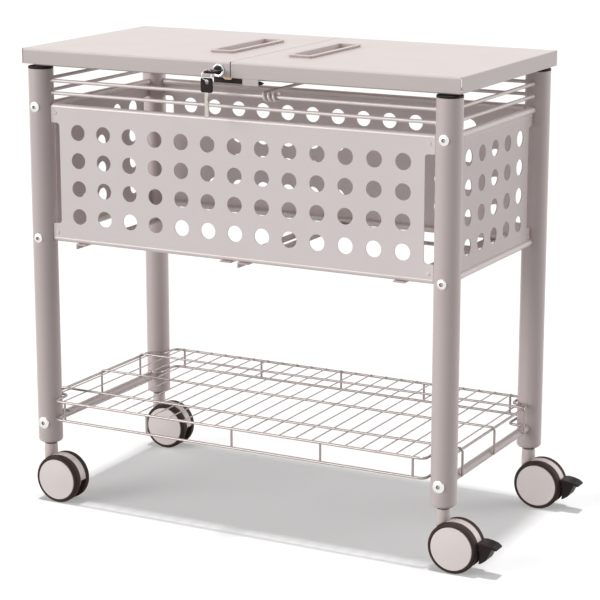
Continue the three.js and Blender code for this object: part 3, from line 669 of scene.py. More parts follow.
def stem(corner):
    low, high = box("caster_stem_" + corner)
    place = Matrix.Translation(((low.x + high.x) / 2, (low.y + high.y) / 2, 0))
    top = box("leg_" + corner)[0].z
    e = COLLAR_EDGE
    # The collar is dark: painted shade for the gap between the leg and the caster's neck
    profile = [
        (0, low.z),
        (STEM_RADIUS - STEM_LEAD, low.z),
        (STEM_RADIUS, low.z + STEM_LEAD),
        (STEM_RADIUS, top - COLLAR),
        *arc(COLLAR_RADIUS - e, top - COLLAR + e, e, -90, 0, EDGE_STEPS),
        *arc(COLLAR_RADIUS - e, top - e, e, 0, 90, EDGE_STEPS),
        (STEM_RADIUS, top),
        (STEM_RADIUS, high.z),
        (0, high.z),
    ]
    bm = bmesh.new()
    lathe(bm, profile, place, STEM_SIDES)
    piece("stem_pin_" + corner, bm, "frame", [STEM_GAP_SHADE], ["caster_stem_" + corner])


def bolt_mesh(radius):
    """A low round head with a hexagon socket, its seat at z = 0"""
    head = bmesh.new()
    profile = [(0, -BOLT_SUNK), (radius, -BOLT_SUNK), (radius, BOLT_RIM)]
    for i in range(1, DOME_STEPS):
        a = math.radians(90 * i / DOME_STEPS)
        profile.append((radius * math.cos(a), BOLT_RIM + (BOLT_HEAD - BOLT_RIM) * math.sin(a)))
    lathe(head, [*profile, (0, BOLT_HEAD)], Matrix())
    socket = bmesh.new()
    cylinder(socket, Matrix(), SOCKET_RADIUS, BOLT_HEAD - SOCKET_DEPTH, BOLT_HEAD + PAST, SOCKET_SIDES)
    head = combine(head, socket)
    # The socket's walls and floor take the second, dark material: painted shade in the recess
    for face in head.faces:
        spot = face.calc_center_median()
        if spot.xy.length < SOCKET_RADIUS and -BOLT_SUNK / 2 < spot.z < BOLT_HEAD - SOCKET_RIM:
            face.material_index = 1
    return head


def bolts():
    heights = [
        box("panel_left")[1].z - BAR_RADIUS,
        box("panel_left")[0].z + BAR_RADIUS,
        middle("stretcher_left").z,
    ]
    for count, (radius, z) in enumerate(zip(BOLT_RADII, heights), 1):
        head = bolt_mesh(radius)
        for corner in CORNERS:
            low, high = box("leg_" + corner)
            axis = -DEEP if corner.startswith("front") else DEEP
            face = low.y if corner.startswith("front") else high.y
            bm = head.copy()
            bm.transform(aimed(Vector(((low.x + high.x) / 2, face, z)), axis))
            piece(f"frame_bolt_{corner}_{count}", bm, "frame", [ZINC, OXIDE_AND_SOCKET_SHADE], edge=BOLT_EDGE)
        head.free()


# Perforated panels and rods
def panel(wall):
    low, high = box("panel_" + wall)
    along = ACROSS if wall in ("front", "rear") else DEEP
    half = (high - low).dot(along) / 2
    span = high.z - low.z - 2 * BAR_RADIUS
    centre = (low + high) / 2
    place = standing(centre - UP * span / 2, along)
    inside = half - NOTCH_DEPTH
    corner = [
        (half, 0, PANEL_CORNER),
        (half, EAR, EAR_CORNER),
        (inside, EAR, NOTCH_RADIUS),
        (inside, span - EAR, NOTCH_RADIUS),
        (half, span - EAR, EAR_CORNER),
        (half, span, PANEL_CORNER),
    ]
    loop = corner + [(-x, y, r) for x, y, r in corner[::-1]]
    outline = []
    for i, (x, y, radius) in enumerate(loop):
        before = Vector(loop[i - 1][:2])
        after = Vector(loop[(i + 1) % len(loop)][:2])
        outline += eased([before, (x, y), after], radius, BEND_STEPS, closed=False)[1:-1]
    width = 2 * (inside - COLUMN_MARGIN)
    height = span - 2 * ROW_MARGIN
    columns = int(width / COLUMN_PITCH)
    holes = []
    for i in range(columns + 1):
        for j in range(ROW_COUNT):
            x = width * (i / columns - 0.5)
            y = ROW_MARGIN + height * j / (ROW_COUNT - 1)
            holes.append(arc(x, y, HOLE_RADIUS, 360, 0, HOLE_STEPS)[:-1])
    sides = {"front": 1, "rear": -1}
    face = sides.get(wall, 0) * (BAR_RADIUS - BAR_PROUD - PANEL_SHEET / 2)
    bm = bmesh.new()
    for y in (0, span):
        ends = [place @ Vector((s * half, y, 0)) for s in (-1, 1)]
        tube(bm, ends, BAR_RADIUS, BAR_SIDES, nose=BAR_NOSE)
    # The rolled bars take the wire coat: more gloss and, beside the side panels' darker sheet, a
    # painted highlight
    for bar_face in bm.faces:
        bar_face.material_index = 1
    plate(bm, outline, holes, place, face - PANEL_SHEET / 2, face + PANEL_SHEET / 2, PANEL_EDGE)
    turn = -1 if wall in ("rear", "left") else 1
    for y in (RIVET_DROP, span - RIVET_DROP):
        for s in (-1, 1):
            sunk = face + turn * (PANEL_SHEET / 2 - RIVET_SUNK)
            seat = place @ Vector((s * (half - RIVET_INSET), y, sunk))
            axis = place.to_3x3() @ UP * turn
            dome = arc(0, 0, 1, 0, 90, RIVET_STEPS)[:-1]
            profile = [(RIVET_RADIUS * c, RIVET_RIM + RIVET_HEIGHT * k) for c, k in dome]
            profile = [(0, 0), (RIVET_RADIUS, 0), *profile, (0, RIVET_RIM + RIVET_HEIGHT)]
            lathe(bm, profile, aimed(seat, axis), RIVET_SIDES)
    # The front and rear panels take the lighter copy of the powder coat, painted light; the side panels
    # keep the powder coat
    sheet = LIT_PANEL_COAT if along == ACROSS else POWDER
    piece("panel_sheet_" + wall, bm, "frame", [sheet, WIRE_AND_BAR_HIGHLIGHT], ["panel_" + wall])


def welded_bar(name, node, material):
    """A round bar between two legs with a low weld bead at each end"""
    low, high = box(node)
    along = ACROSS if high.x - low.x > high.y - low.y else DEEP
    radius = (high.z - low.z) / 2
    half = (high - low).dot(along) / 2
    profile = [(0, 0), (radius + WELD_RISE, 0)]
    bead = arc(0, 0, 1, 0, 90, WELD_STEPS)
    profile += [(radius + WELD_RISE * x, WELD_LENGTH * y) for x, y in bead]
    profile += [(r, 2 * half - h) for r, h in profile[:0:-1]]
    bm = bmesh.new()
    lathe(bm, [*profile, (0, 2 * half)], aimed((low + high) / 2 - along * half, along), ROD_SIDES)
    piece(name, bm, "frame", [material], [node])


# Wire shelf: a stepped upper rim, lower wires on the stretchers, and the deck wires
def shelf():
    low, high = box("wire_shelf")
    leg_low, leg_high = box("leg_front_left")
    centre = (low + high) / 2
    leg_radius = (leg_high.x - leg_low.x) / 2
    leg_at = centre - (leg_low + leg_high) / 2
    step_x = leg_at.x - leg_radius - RIM_RADIUS - WIRE_GAP
    step_y = leg_at.y - leg_radius - RIM_RADIUS - WIRE_GAP
    foot_x = (high.x - low.x) / 2 - STRUT_RADIUS
    side_x = foot_x - STRUT_RADIUS - RIM_RADIUS + WIRE_WELD / 2
    front = (high.y - low.y) / 2 - RIM_RADIUS
    low_z = box("stretcher_left")[1].z + WIRE_GAP + RIM_RADIUS
    high_z = low_z + RIM_DEPTH
    cross_z = high_z + RIM_RADIUS + CROSS_RADIUS - WIRE_WELD
    long_z = high_z + RIM_RADIUS + STRUT_RADIUS - WIRE_WELD
    home = Vector((centre.x, centre.y, 0))

    def at(points):
        return [home + Vector(p) for p in points]

    quarter = [
        (step_x, front, high_z),
        (step_x, step_y, high_z),
        (side_x, step_y, high_z),
    ]
    rim = quarter + [(x, -y, z) for x, y, z in quarter[::-1]]
    rim += [(-x, y, z) for x, y, z in rim[::-1]]
    bm = bmesh.new()
    tube(bm, eased(at(rim), RIM_CORNER, BEND_STEPS), RIM_RADIUS, RIM_SIDES, closed=True)
    tuck = step_y - RIM_CORNER
    for s in (-1, 1):
        half = [(step_x, s * front, low_z), (step_x, s * tuck, low_z), (leg_at.x, s * tuck, low_z)]
        line = [(-x, y, z) for x, y, z in half[::-1]] + half
        tube(bm, eased(at(line), RIM_CORNER, BEND_STEPS, closed=False), RIM_RADIUS, RIM_SIDES)
        for i in range(STRUT_COUNT):
            x = (step_x - STRUT_MARGIN) * (2 * i / (STRUT_COUNT - 1) - 1)
            tube(bm, at([(x, s * front, low_z), (x, s * front, high_z)]), STRUT_RADIUS)
    long_y = step_y - LONG_MARGIN
    for y in (-long_y, 0, long_y):
        line = [
            (-foot_x, y, low.z),
            (-foot_x, y, long_z),
            (foot_x, y, long_z),
            (foot_x, y, low.z),
        ]
        tube(bm, eased(at(line), LONG_BEND, BEND_STEPS, closed=False), STRUT_RADIUS)
    count = int((step_x - RIM_CORNER) / CROSS_PITCH)
    cross = [(i * CROSS_PITCH, front) for i in range(-count, count + 1)]
    cross += [(s * (step_x + side_x) / 2, step_y) for s in (-1, 1)]
    for x, half in cross:
        end = half + CROSS_OVERHANG
        tube(bm, at([(x, -end, cross_z), (x, end, cross_z)]), CROSS_RADIUS, CROSS_SIDES)
    piece("shelf_wires", bm, "frame", [SHELF], ["wire_shelf"])


# Lids: a folded pan, a side apron, a seam flange and guide angles
def lid(side):
    left = side == "left"
    sign = -1 if left else 1
    node = "lid_" + side
    low, high = box(node)
    seam, outer = (high.x, low.x) if left else (low.x, high.x)
    top = high.z
    skirt = top - LID_APRON
    t = LID_SHEET
    pan_end = outer - sign * (t + LID_SLIT)
    pan = bmesh.new()
    bend = folded([(low.y, skirt), (low.y, top), (high.y, top), (high.y, skirt)], LID_FOLD, t)
    prism(pan, bend, standing(Vector(), DEEP), min(seam, pan_end), max(seam, pan_end))
    pull = middle("pull_" + side)
    pull_low, pull_high = box("pull_" + side)
    half_x = (pull_high.x - pull_low.x) / 2 - PULL_RIM + PULL_CLEARANCE
    half_y = (pull_high.y - pull_low.y) / 2 - PULL_RIM + PULL_CLEARANCE
    tool = bmesh.new()
    opening = rounded_rectangle(half_x, half_y, PULL_CORNER)
    prism(tool, opening, Matrix.Translation((pull.x, pull.y, 0)), top - 3 * t, top + t)
    pan = combine(pan, tool)
    if left:
        lock = middle("lock_barrel")
        hole = bmesh.new()
        place = aimed(Vector((lock.x, low.y, lock.z)), DEEP)
        cylinder(hole, place, LOCK_BODY_RADIUS + LOCK_CLEARANCE, -t, 2 * t)
        pan = combine(pan, hole)
    apron = [(outer, skirt), (outer, top), (pan_end, top)]
    apron = folded(apron if left else apron[::-1], LID_FOLD, t)
    prism(pan, apron, standing(Vector(), ACROSS), -high.y + LID_SETBACK, -low.y - LID_SETBACK)
    rail = box("slide_rail_front")[1].y + GUIDE_GAP
    centre_y = (low.y + high.y) / 2
    reach = centre_y - rail
    foot_top = box("slide_rail_front")[1].z - RAIL_SHEET - RAIL_CLEARANCE
    ends = sorted((seam + sign * LID_SETBACK, outer - sign * 2 * t))
    for s in (-1, 1):
        web = sorted((centre_y + s * reach, centre_y + s * (reach - t)))
        slab(pan, (ends[0], web[0], foot_top - t), (ends[1], web[1], top - t))
        foot = sorted((centre_y + s * (reach - t / 2), centre_y + s * (reach + GUIDE_FOOT)))
        slab(pan, (ends[0], foot[0], foot_top - t), (ends[1], foot[1], foot_top))
    flange = sorted((seam, seam + sign * t))
    slab(
        pan,
        (flange[0], centre_y - reach + t, top - SEAM_FLANGE),
        (flange[1], centre_y + reach - t, top - t),
    )
    if not left:
        start = seam + KEEPER_FROM_SEAM
        outline = eased([
            (start, low.z),
            (start + KEEPER_WIDTH, low.z),
            (start + KEEPER_WIDTH, skirt + KEEPER_WELD),
            (start, skirt + KEEPER_WELD),
        ], KEEPER_CORNER)
        inside = low.y + t
        place = standing(Vector(), ACROSS)
        plate(pan, outline, [], place, -inside - KEEPER_SHEET, -inside, KEEPER_EDGE)
    piece("lid_pan_" + side, pan, node, [LID], [node], edge=LID_EDGE)


# Pulls: a raised bezel that rolls over into a cup
def pull(side):
    node = "pull_" + side
    low, high = box(node)
    centre = (low + high) / 2
    lid_top = box("lid_" + side)[1].z
    half_x = (high.x - low.x) / 2
    half_y = (high.y - low.y) / 2
    wall = PULL_RIM + PULL_WALL
    bottom = low.z + PULL_WALL
    e = PULL_EDGE
    edge = arc(0, 0, e, 0, 90, EDGE_STEPS)
    steps = [
        (PULL_RIM + PULL_FOOT, low.z),
        (PULL_RIM, low.z + PULL_FOOT),
        (PULL_RIM, lid_top),
        (PULL_UNDERCUT, lid_top),
        *[(e - y, high.z - e + x) for x, y in edge],
        *[(wall - e + y, high.z - e + x) for x, y in edge],
        (wall, bottom + PULL_FILLET),
        (wall + PULL_FILLET / 3, bottom + PULL_FILLET / 3),
        (wall + PULL_FILLET, bottom),
    ]
    rings = []
    for inset, z in steps:
        corner = PULL_CORNER - inset * PULL_TAPER
        ring = rounded_rectangle(half_x - inset, half_y - inset, corner)
        rings.append([Vector((centre.x + x, centre.y + y, z)) for x, y in ring])
    bm = bmesh.new()
    loft(bm, rings)
    piece("pull_cup_" + side, bm, "lid_" + side, [LID], [node])


# Lock: a chrome ring, a dark plug with a brass finger, a black cam
def lock():
    low, high = box("lock_barrel")
    centre = (low + high) / 2
    place = aimed(Vector((centre.x, low.y, centre.z)), DEEP)
    depth = high.y - low.y
    bore = PLUG_RADIUS + LOCK_CLEARANCE
    profile = [
        *[(bore + out, deep) for out, deep in LOCK_DISH],
        *arc(LOCK_FACE_RADIUS - LOCK_ROUND, LOCK_ROUND, LOCK_ROUND, -90, 0),
        (LOCK_FACE_RADIUS, LOCK_FACE - LOCK_LIP),
        (LOCK_FACE_RADIUS - LOCK_LIP, LOCK_FACE),
        (LOCK_BODY_RADIUS, LOCK_FACE),
        (LOCK_BODY_RADIUS, depth),
        (bore, depth),
    ]
    bm = bmesh.new()
    lathe(bm, profile, place, LOCK_SIDES, closed=True)
    piece("lock_ring", bm, "lid_left", [CHROME], ["lock_barrel"])

    low, high = box("lock_plug")
    bm = bmesh.new()
    face = aimed(Vector((centre.x, low.y, centre.z)), DEEP)
    body = [(0, 0), (PLUG_RADIUS - PLUG_EDGE, 0), (PLUG_RADIUS, PLUG_EDGE)]
    lathe(bm, [*body, (PLUG_RADIUS, high.y - low.y), (0, high.y - low.y)], face)
    slot = bmesh.new()
    half = BLADE_SHEET / 2 + LOCK_CLEARANCE
    slab(
        slot,
        (centre.x - KEYWAY / 2, low.y - PAST, centre.z - half),
        (centre.x + KEYWAY / 2, box("lock_barrel")[1].y, centre.z + half),
    )
    bm = combine(bm, slot)
    flat = standing(Vector((centre.x, 0, centre.z)), ACROSS)
    reach = high.x - centre.x
    drop = low.z - centre.z
    finger = eased([
        (-PLUG_RADIUS + FINGER_ROOT, -FINGER_ROOT * 1.5),
        (-FINGER_ROOT, -PLUG_RADIUS),
        (reach - FINGER_WIDTH, drop),
        (reach - FINGER_TIP[0], drop),
        (reach, drop + FINGER_TIP[1]),
        (PLUG_RADIUS, -FINGER_ROOT),
    ], FINGER_ROUND)
    piece("lock_core", bm, "lock", [OXIDE_AND_SOCKET_SHADE], ["lock_plug"])
    bm = bmesh.new()
    plate(bm, finger, [], flat, -high.y, -high.y + FINGER_SHEET, FINGER_EDGE)
    piece("lock_finger", bm, "lock", [BRASS])

    low, high = box("lock_cam")
    reach = high.x - centre.x
    arm_top = CAM_ARM / 2 - CAM_RADIUS
    arm_low = arm_top - CAM_ARM
    rim = arc(0, 0, CAM_RADIUS, -CAM_SECTOR, CAM_RIM_END, CAM_STEPS)
    hub = arc(0, 0, PLUG_RADIUS, *CAM_HUB, CAM_STEPS + 2)
    bm = bmesh.new()
    plate(bm, eased(rim + hub, CAM_CORNER, 2), [], flat, -high.y, -low.y, CAM_EDGE)
    arm = eased([
        (low.x - centre.x, arm_top + CAM_ARM / 2),
        (low.x - centre.x, arm_low),
        (reach - CAM_ARM, arm_low),
        (reach, (arm_top + arm_low) / 2),
        (reach - CAM_ARM, arm_top),
    ], ARM_CORNER)
    plate(bm, arm, [], flat, -high.y + CAM_INSET, -low.y - CAM_INSET, CAM_EDGE)
    piece("cam_plate", bm, "lock", [OXIDE_AND_SOCKET_SHADE], ["lock_cam"])


# Keys: a moulded bow and a cut blade, flat in the place's XY plane with the ring hole at its origin
def key(name, place, blade_length, body, node):
    middle_y = BOW_LENGTH / 2 - BOW_HOLE_EDGE
    bow = [(x, y + middle_y) for x, y in rounded_rectangle(BOW_WIDTH / 2, BOW_LENGTH / 2, BOW_CORNER)]
    hole = arc(0, 0, BOW_HOLE_RADIUS, 360, 0, BOW_HOLE_STEPS)[:-1]
    bm = bmesh.new()
    plate(bm, bow, [hole], place, -BOW_HALF, BOW_HALF, BOW_EDGE)
    piece(name + "_bow", bm, body, [BLACK], [node])
    start = BOW_LENGTH - BOW_HOLE_EDGE - BLADE_ROOT
    half = BLADE_WIDTH / 2
    end = start + BLADE_ROOT + blade_length
    outline = [(-half, start), (half, start)]
    for i, depth in enumerate(KEY_CUTS):
        y = start + CUT_START + CUT_PITCH * i
        if y + CUT_PITCH < end - BLADE_TIP:
            outline += [(half - cut, y + step) for cut, step in zip((0, depth, depth, 0), CUT_STEPS)]
    outline += [(half, end - BLADE_TIP), (half - BLADE_TIP - TIP_SKEW, end)]
    outline += [(-half + BLADE_TIP - TIP_SKEW, end), (-half, end - BLADE_TIP + TIP_SKEW)]
    bm = bmesh.new()
    plate(bm, outline, [], place, -BLADE_SHEET / 2, BLADE_SHEET / 2, BLADE_EDGE)
    piece(name + "_blade", bm, body, [NICKEL])


def keys():
    low, high = box("key")
    hole = Vector(((low.x + high.x) / 2, low.y + BOW_HOLE_EDGE, (low.z + high.z) / 2))
    blade = high.y - hole.y - (BOW_LENGTH - BOW_HOLE_EDGE)
    key("lock_key", Matrix.Translation(hole), blade, "lock", "key")
    lean = Matrix.Rotation(math.radians(RING_LEAN), 4, "X")
    hung = Matrix.Rotation(math.radians(-RING_TURN), 4, "Z")
    centre = hole + hung @ lean @ -DEEP * RING_RADIUS
    hang = BOW_HOLE_RADIUS - 2 * RING_WIRE - RING_SLACK / 2
    hole = centre - UP * (RING_RADIUS + hang)
    turn = Matrix.Rotation(math.radians(-90), 4, "X")
    blade = hole.z - box("spare_key")[0].z - (BOW_LENGTH - BOW_HOLE_EDGE)
    key("spare_key", Matrix.Translation(hole) @ turn, blade, "spare_keys", "spare_key")
    path = []
    for i in range(RING_STEPS + 1):
        turns = 2 * i / RING_STEPS
        angle = 2 * math.pi * turns + RING_START
        ramp = min(1, max(0, (turns - RING_CROSSING) / RING_RAMP))
        offset = RING_WIRE * (2 * ramp - 1)
        spot = (offset, RING_RADIUS * math.cos(angle), RING_RADIUS * math.sin(angle))
        path.append(centre + hung @ Vector(spot))
    bm = bmesh.new()
    tube(bm, path, RING_WIRE, RING_SIDES, nose=RING_NOSE)
    piece("split_ring", bm, "spare_keys", [CHROME], ["key_ring"])


# File rail: one wire wound round both top rods
def file_rail():
    low, high = box("file_rail")
    rod_low, rod_high = box("rod_upper_front")
    rod_z = (rod_low.z + rod_high.z) / 2
    coil = (rod_high.z - rod_low.z) / 2 + COIL_CLEARANCE + RAIL_WIRE
    start = low.x + RAIL_WIRE
    path = []
    for wall, s in (("rear", 1), ("front", -1)):
        rod_y = middle("rod_upper_" + wall).y
        winding = []
        for i in range(COIL_TURNS * COIL_STEPS + 1):
            a = 2 * math.pi * i / COIL_STEPS
            x = start + COIL_PITCH * i / COIL_STEPS
            winding.append(Vector((x, rod_y + s * coil * math.sin(a), rod_z + coil * math.cos(a))))
        path += winding[::-1] if s > 0 else winding
    bm = bmesh.new()
    tube(bm, path, RAIL_WIRE, nose=RAIL_NOSE)
    piece("file_rail_wire", bm, "file_rail", [WIRE_AND_BAR_HIGHLIGHT], ["file_rail"])


# Casters
def wheel(corner, end):
    node = f"wheel_{corner}_{end}"
    low, high = box(node)
    axis = -DEEP if end == "a" else DEEP
    hood = middle("axle_" + corner)
    place = aimed(Vector(((low.x + high.x) / 2, hood.y, (low.z + high.z) / 2)), axis)
    radius = (low.z + high.z) / 2
    outside = max(hood.y - low.y, high.y - hood.y) - WHEEL_DOME
    groove = HUB_RADIUS + HUB_GAP
    rim = groove + TYRE_LIP
    seat = groove - TYRE_SEAT
    back = outside - HUB_DEPTH
    inner = WHEEL_INSIDE + TYRE_SETBACK
    turned = arc(0, 0, 1, 0, 90, DOME_STEPS)
    shoulder = [(rim + (radius - rim) * c, outside - WHEEL_SHOULDER * (1 - k)) for c, k in turned]
    tread = [
        (seat, inner),
        *arc(radius - TYRE_ROUND, inner + TYRE_ROUND, TYRE_ROUND, -90, TYRE_ROUND_END, TYRE_STEPS),
        (radius, WHEEL_INSIDE + TYRE_STRAIGHT),
        *shoulder,
        (groove, outside - HUB_GAP),
        (groove, back),
        (seat, back),
    ]
    bm = bmesh.new()
    lathe(bm, tread, place, WHEEL_SIDES, closed=True)
    piece("tyre_" + node[6:], bm, node, [TYRE], [node])
    face = outside - HUB_SUNK
    dome = WHEEL_DOME + HUB_SUNK
    shares = [1 - i / HUB_STEPS for i in range(2, HUB_STEPS)]
    curve = [(HUB_RADIUS * share, face + dome * (1 - share ** 2)) for share in shares]
    edge = (HUB_RADIUS - HUB_EDGE, face - HUB_EDGE_DROP, HUB_EDGE)
    edge = arc(*edge, 0, HUB_EDGE_END, HUB_EDGE_STEPS)
    barrel = seat - TYRE_SETBACK
    flange = back + TYRE_SETBACK
    hub = [
        (HUB_BORE, WHEEL_INSIDE + HUB_SUNK),
        (barrel, WHEEL_INSIDE + HUB_SUNK),
        (barrel, flange),
        (HUB_RADIUS, flange),
        *edge,
        *curve,
        (0, face + dome),
        (0, back),
        (HUB_BORE, back),
    ]
    bm = bmesh.new()
    lathe(bm, hub, place, WHEEL_SIDES, closed=True)
    piece("hub_" + node[6:], bm, node, [HUB])


def pedal_pin(corner):
    axle = middle("axle_" + corner)
    reach = axle.z + PEDAL_OFFSET
    angle = math.radians(PEDAL_ANGLE)
    return axle + Vector((reach * math.cos(angle), 0, reach * math.sin(angle)))


def hood(corner):
    """The band between the wheels, the neck above it and, with a brake, the pedal's lug"""
    node = "caster_hood_" + corner
    axle = middle("axle_" + corner)
    leg_at = middle("leg_" + corner)
    trail = axle.x - leg_at.x
    wheel_radius = axle.z
    band = wheel_radius + HOOD_RISE
    top = box("leg_" + corner)[0].z - COLLAR - COLLAR_GAP
    flat = standing(Vector((leg_at.x, leg_at.y, 0)), ACROSS)
    behind = math.degrees(math.acos((-NECK_RADIUS - trail) / band))
    outline = arc(trail, axle.z, band, BAND_START, behind, BAND_STEPS)
    outline += [(trail + s * NECK_RADIUS, axle.z - NECK_RADIUS) for s in (-1, 1)]
    outline.append((trail + band - BAND_TIP[0], axle.z - BAND_TIP[1]))
    body = bmesh.new()
    plate(body, outline, [], flat, -HOOD_HALF, HOOD_HALF, HOOD_EDGE)
    bore = STEM_RADIUS + STEM_CLEARANCE
    bore_end = box("caster_stem_" + corner)[0].z - STEM_CLEARANCE
    profile = [
        (0, NECK_BASE),
        (NECK_RADIUS, NECK_BASE),
        (NECK_RADIUS, top - NECK_STRAIGHT),
        (NECK_RADIUS - NECK_TAPER, top - NECK_EDGE),
        (NECK_RADIUS - 2 * NECK_TAPER, top),
        (bore, top),
        (bore, bore_end),
        (0, bore_end),
    ]
    neck = bmesh.new()
    lathe(neck, profile, Matrix.Translation((leg_at.x, leg_at.y, 0)), NECK_SIDES)
    for axis in (DEEP, -DEEP):
        tool = bmesh.new()
        inside = HOOD_HALF - NECK_SINK
        cylinder(tool, aimed(axle, axis), wheel_radius + NECK_GAP, inside, 4 * HOOD_HALF, WHEEL_SIDES)
        neck = combine(neck, tool)
    body = combine(body, neck, "UNION")
    if corner.endswith("right"):
        lug = bmesh.new()
        start = -4 * LUG_RADIUS
        shape = [(start, -LUG_RADIUS), *arc(0, 0, LUG_RADIUS, -90, 90, LUG_STEPS), (start, LUG_RADIUS)]
        place = standing(pedal_pin(corner), ACROSS)
        prism(lug, shape, place, -LUG_HALF + LUG_INSET, LUG_HALF - LUG_INSET)
        body = combine(body, lug, "UNION")
    piece("caster_band_" + corner, body, "caster_" + corner, [HOOD], [node], smooth=CRISP_ANGLE)


def pedal(corner):
    """A sloping, grooved pad on a block that follows the wheels, open round the hood's lug"""
    node = "brake_pedal_" + corner
    axle = middle("axle_" + corner)
    pin = pedal_pin(corner)
    low, high = box(node)
    tip = high.x - pin.x
    drop = low.z - pin.z
    crest = high.z - pin.z - PEDAL_SINK
    half = (high.y - low.y) / 2
    place = standing(pin, ACROSS)
    # The pad from heel to tip: distance from the pin, half width, heights of its top and underside
    stations = [
        (-PAD_BACK, half - 1.2, crest - 1.4, 0),
        (-6.4, half - 0.4, crest - 0.6, -0.5),
        (0, half, crest, -0.5),
        (tip * 0.3, half, crest - 0.9, -0.5),
        (tip * 0.75, half - 1.2, 1.4, -2.6),
        (tip - 1, half - 2.4, -1.4, -4.2),
        (tip - 0.3, half - 2.8, -2, -4.1),
        (tip, half - 3.4, -2.5, -3.6),
    ]
    rings = []
    for x, side, top, under in stations:
        ring = rounded_rectangle(side, (top - under) / 2, min(PAD_ROUND, (top - under) / 3), EDGE_STEPS)
        level = (top + under) / 2
        rings.append([pin + Vector((x, y, level + z)) for y, z in ring])
    body = bmesh.new()
    loft(body, rings)
    # The block below it, seen from the side
    block = eased([
        (-PAD_BACK, PEDAL_HEEL),
        (tip / 2 + 2, 2),
        (tip / 2 + 4, -4),
        (7, drop + 3),
        (-2, drop - PEDAL_HEEL),
        (-10, drop - PEDAL_HEEL),
    ], BLOCK_CORNER)
    under = bmesh.new()
    prism(under, block, place, -BLOCK_HALF, BLOCK_HALF)
    body = combine(body, under, "UNION")
    clear = axle.z + PEDAL_WHEEL_GAP
    for travel in (0, PEDAL_TRAVEL):
        turn = Matrix.Rotation(math.radians(-travel), 3, "Y")
        sweep = bmesh.new()
        cylinder(sweep, aimed(pin + turn @ (axle - pin), DEEP), clear, -2 * half, 2 * half, SWEEP_SIDES)
        body = combine(body, sweep)
    ears = bmesh.new()
    hinge = half - HINGE_INSET
    cylinder(ears, aimed(pin, DEEP), LUG_RADIUS + HINGE_WALL, -hinge, hinge, HINGE_SIDES)
    body = combine(body, ears, "UNION")
    open_half = LUG_HALF + THROAT_GAP
    open_radius = LUG_RADIUS + PEDAL_CLEARANCE
    swing = THROAT_MOUTH * math.tan(math.radians(PEDAL_TRAVEL))
    around = arc(0, 0, open_radius, -90 - PEDAL_TRAVEL, THROAT_END, THROAT_STEPS)
    throat = [(-THROAT_MOUTH, -open_radius - swing), *around, (-THROAT_MOUTH, open_radius)]
    gap = bmesh.new()
    prism(gap, throat, place, -open_half, open_half)
    body = combine(body, gap)
    for i in range(GROOVE_COUNT):
        x = tip * (GROOVE_START + GROOVE_PITCH * i)
        depth = crest - GROOVE_DEPTH - GROOVE_FALL * i / (GROOVE_COUNT - 1)
        side = half - GROOVE_MARGIN
        groove = bmesh.new()
        slab(
            groove,
            pin + Vector((x, -side, depth)),
            pin + Vector((x + GROOVE_WIDTH, side, crest + PAST)),
        )
        body = combine(body, groove)
    name = "pedal_pad_" + corner
    piece(name, body, "pedal_" + corner, [BLACK], [node], PEDAL_EDGE, CRISP_ANGLE)


for corner in CORNERS:
    leg(corner)
    cap(corner)
    stem(corner)
    hood(corner)
    for end in "ab":
        wheel(corner, end)
bolts()
for corner in ("front_right", "rear_right"):
    pedal(corner)
for wall in ("front", "rear", "left", "right"):
    panel(wall)
    for level in ("upper", "lower"):
        welded_bar(f"rod_{level}_{wall}_bar", f"rod_{level}_{wall}", WIRE_AND_BAR_HIGHLIGHT)
for side in ("left", "right"):
    welded_bar(f"stretcher_{side}_tube", f"stretcher_{side}", POWDER)
    lid(side)
    pull(side)
shelf()
lock()
keys()
file_rail()

# Solids that stay as they are, with a finish of their own
KEPT_EDGE = 0.2
KEPT = {"slide_rail": POWDER, "floor_rack": POWDER, "axle": ZINC}
for name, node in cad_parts.items():
    for start, material in KEPT.items():
        if name.startswith(start):
            for holder in node.material_slots:
                holder.material = material
            soften(node, KEPT_EDGE)

# Floor with its reach in metres, light and background
FLOOR_REACH = 40
FLOOR_WHITE = 0.23
FLOOR_BOUNCE = 0.35
SKY_LIGHT = 0.15
# Each lamp's azimuth and elevation, its strength, and how wide it is in degrees
LAMPS = {
    "overhead": (-45, 88.4, 2.1, 4),
    "key": (-38, 15, 1.95, 40),
    "side": (125, 15, 1.4, 40),
}


def seen_directly(nodes, link):
    """1 for what the camera, a reflection or glass sees, 0 for light that bounces"""
    path = nodes.new("ShaderNodeLightPath")
    first = nodes.new("ShaderNodeMath")
    first.operation = "MAXIMUM"
    link(path.outputs["Is Camera Ray"], first.inputs[0])
    link(path.outputs["Is Glossy Ray"], first.inputs[1])
    both = nodes.new("ShaderNodeMath")
    both.operation = "MAXIMUM"
    link(first.outputs["Value"], both.inputs[0])
    link(path.outputs["Is Transmission Ray"], both.inputs[1])
    return both.outputs["Value"]


def direction(azimuth, elevation):
    """From the cart, where azimuth 0 is in front and 90 is to its right"""
    a = math.radians(azimuth)
    e = math.radians(elevation)
    return Vector((math.sin(a) * math.cos(e), -math.cos(a) * math.cos(e), math.sin(e)))


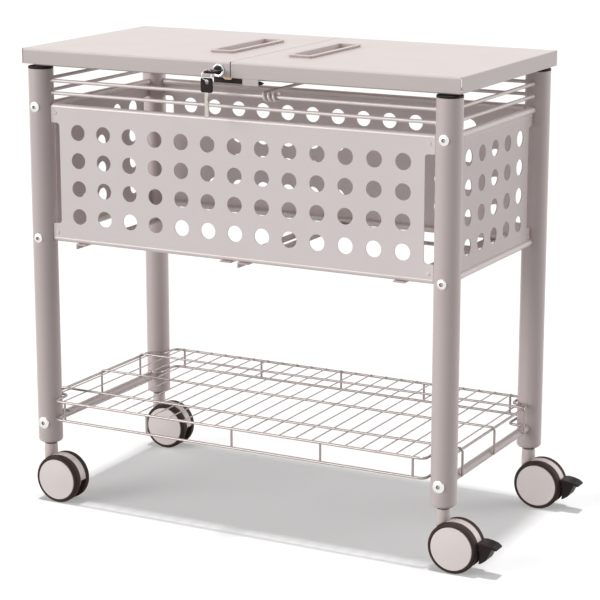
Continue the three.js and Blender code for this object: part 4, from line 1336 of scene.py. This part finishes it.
def floor():
    bm = bmesh.new()
    bmesh.ops.create_grid(bm, x_segments=8, y_segments=8, size=FLOOR_REACH)
    mesh = bpy.data.meshes.new("floor")
    bm.to_mesh(mesh)
    bm.free()
    obj = bpy.data.objects.new("floor", mesh)
    bpy.context.scene.collection.objects.link(obj)
    material = bpy.data.materials.new("floor")
    material.use_nodes = True
    nodes = material.node_tree.nodes
    link = material.node_tree.links.new
    nodes.remove(nodes["Principled BSDF"])
    shown = nodes.new("ShaderNodeBsdfDiffuse")
    shown.inputs["Color"].default_value = (1 - FLOOR_WHITE,) * 3 + (1,)
    glow = nodes.new("ShaderNodeEmission")
    glow.inputs["Strength"].default_value = FLOOR_WHITE
    white = nodes.new("ShaderNodeAddShader")
    link(shown.outputs[0], white.inputs[0])
    link(glow.outputs[0], white.inputs[1])
    bounce = nodes.new("ShaderNodeBsdfDiffuse")
    bounce.inputs["Color"].default_value = (FLOOR_BOUNCE,) * 3 + (1,)
    mix = nodes.new("ShaderNodeMixShader")
    link(seen_directly(nodes, link), mix.inputs["Fac"])
    link(bounce.outputs[0], mix.inputs[1])
    link(white.outputs[0], mix.inputs[2])
    link(mix.outputs[0], nodes["Material Output"].inputs["Surface"])
    mesh.materials.append(material)


def lights():
    world = bpy.data.worlds.new("studio")
    bpy.context.scene.world = world
    world.use_nodes = True
    nodes = world.node_tree.nodes
    link = world.node_tree.links.new
    strength = nodes.new("ShaderNodeMapRange")
    strength.inputs["To Min"].default_value = SKY_LIGHT
    strength.inputs["To Max"].default_value = 1
    link(seen_directly(nodes, link), strength.inputs["Value"])
    background = nodes["Background"]
    background.inputs["Color"].default_value = (1, 1, 1, 1)
    link(strength.outputs["Result"], background.inputs["Strength"])
    for name, (azimuth, elevation, energy, width) in LAMPS.items():
        lamp = bpy.data.lights.new(name, "SUN")
        lamp.energy = energy
        lamp.angle = math.radians(width)
        sun = bpy.data.objects.new(name, lamp)
        sun.rotation_euler = direction(azimuth, elevation).to_track_quat("Z", "Y").to_euler()
        bpy.context.scene.collection.objects.link(sun)


# Camera: its place in metres, the angles it looks from, lens and sensor
CAMERA_PLACE = Vector((1.4779, -2.7929, 1.0850))
CAMERA_AZIMUTH = 27.929
CAMERA_ELEVATION = 13.439
CAMERA_LENS = 128.26
CAMERA_SENSOR = 36


def camera():
    back = direction(CAMERA_AZIMUTH, CAMERA_ELEVATION)
    data = bpy.data.cameras.new("camera")
    data.lens = CAMERA_LENS
    data.sensor_width = CAMERA_SENSOR
    obj = bpy.data.objects.new("camera", data)
    obj.location = CAMERA_PLACE
    obj.rotation_euler = back.to_track_quat("Z", "Y").to_euler()
    bpy.context.scene.collection.objects.link(obj)
    bpy.context.scene.camera = obj


floor()
lights()
camera()
bpy.context.scene.view_settings.view_transform = "Standard"
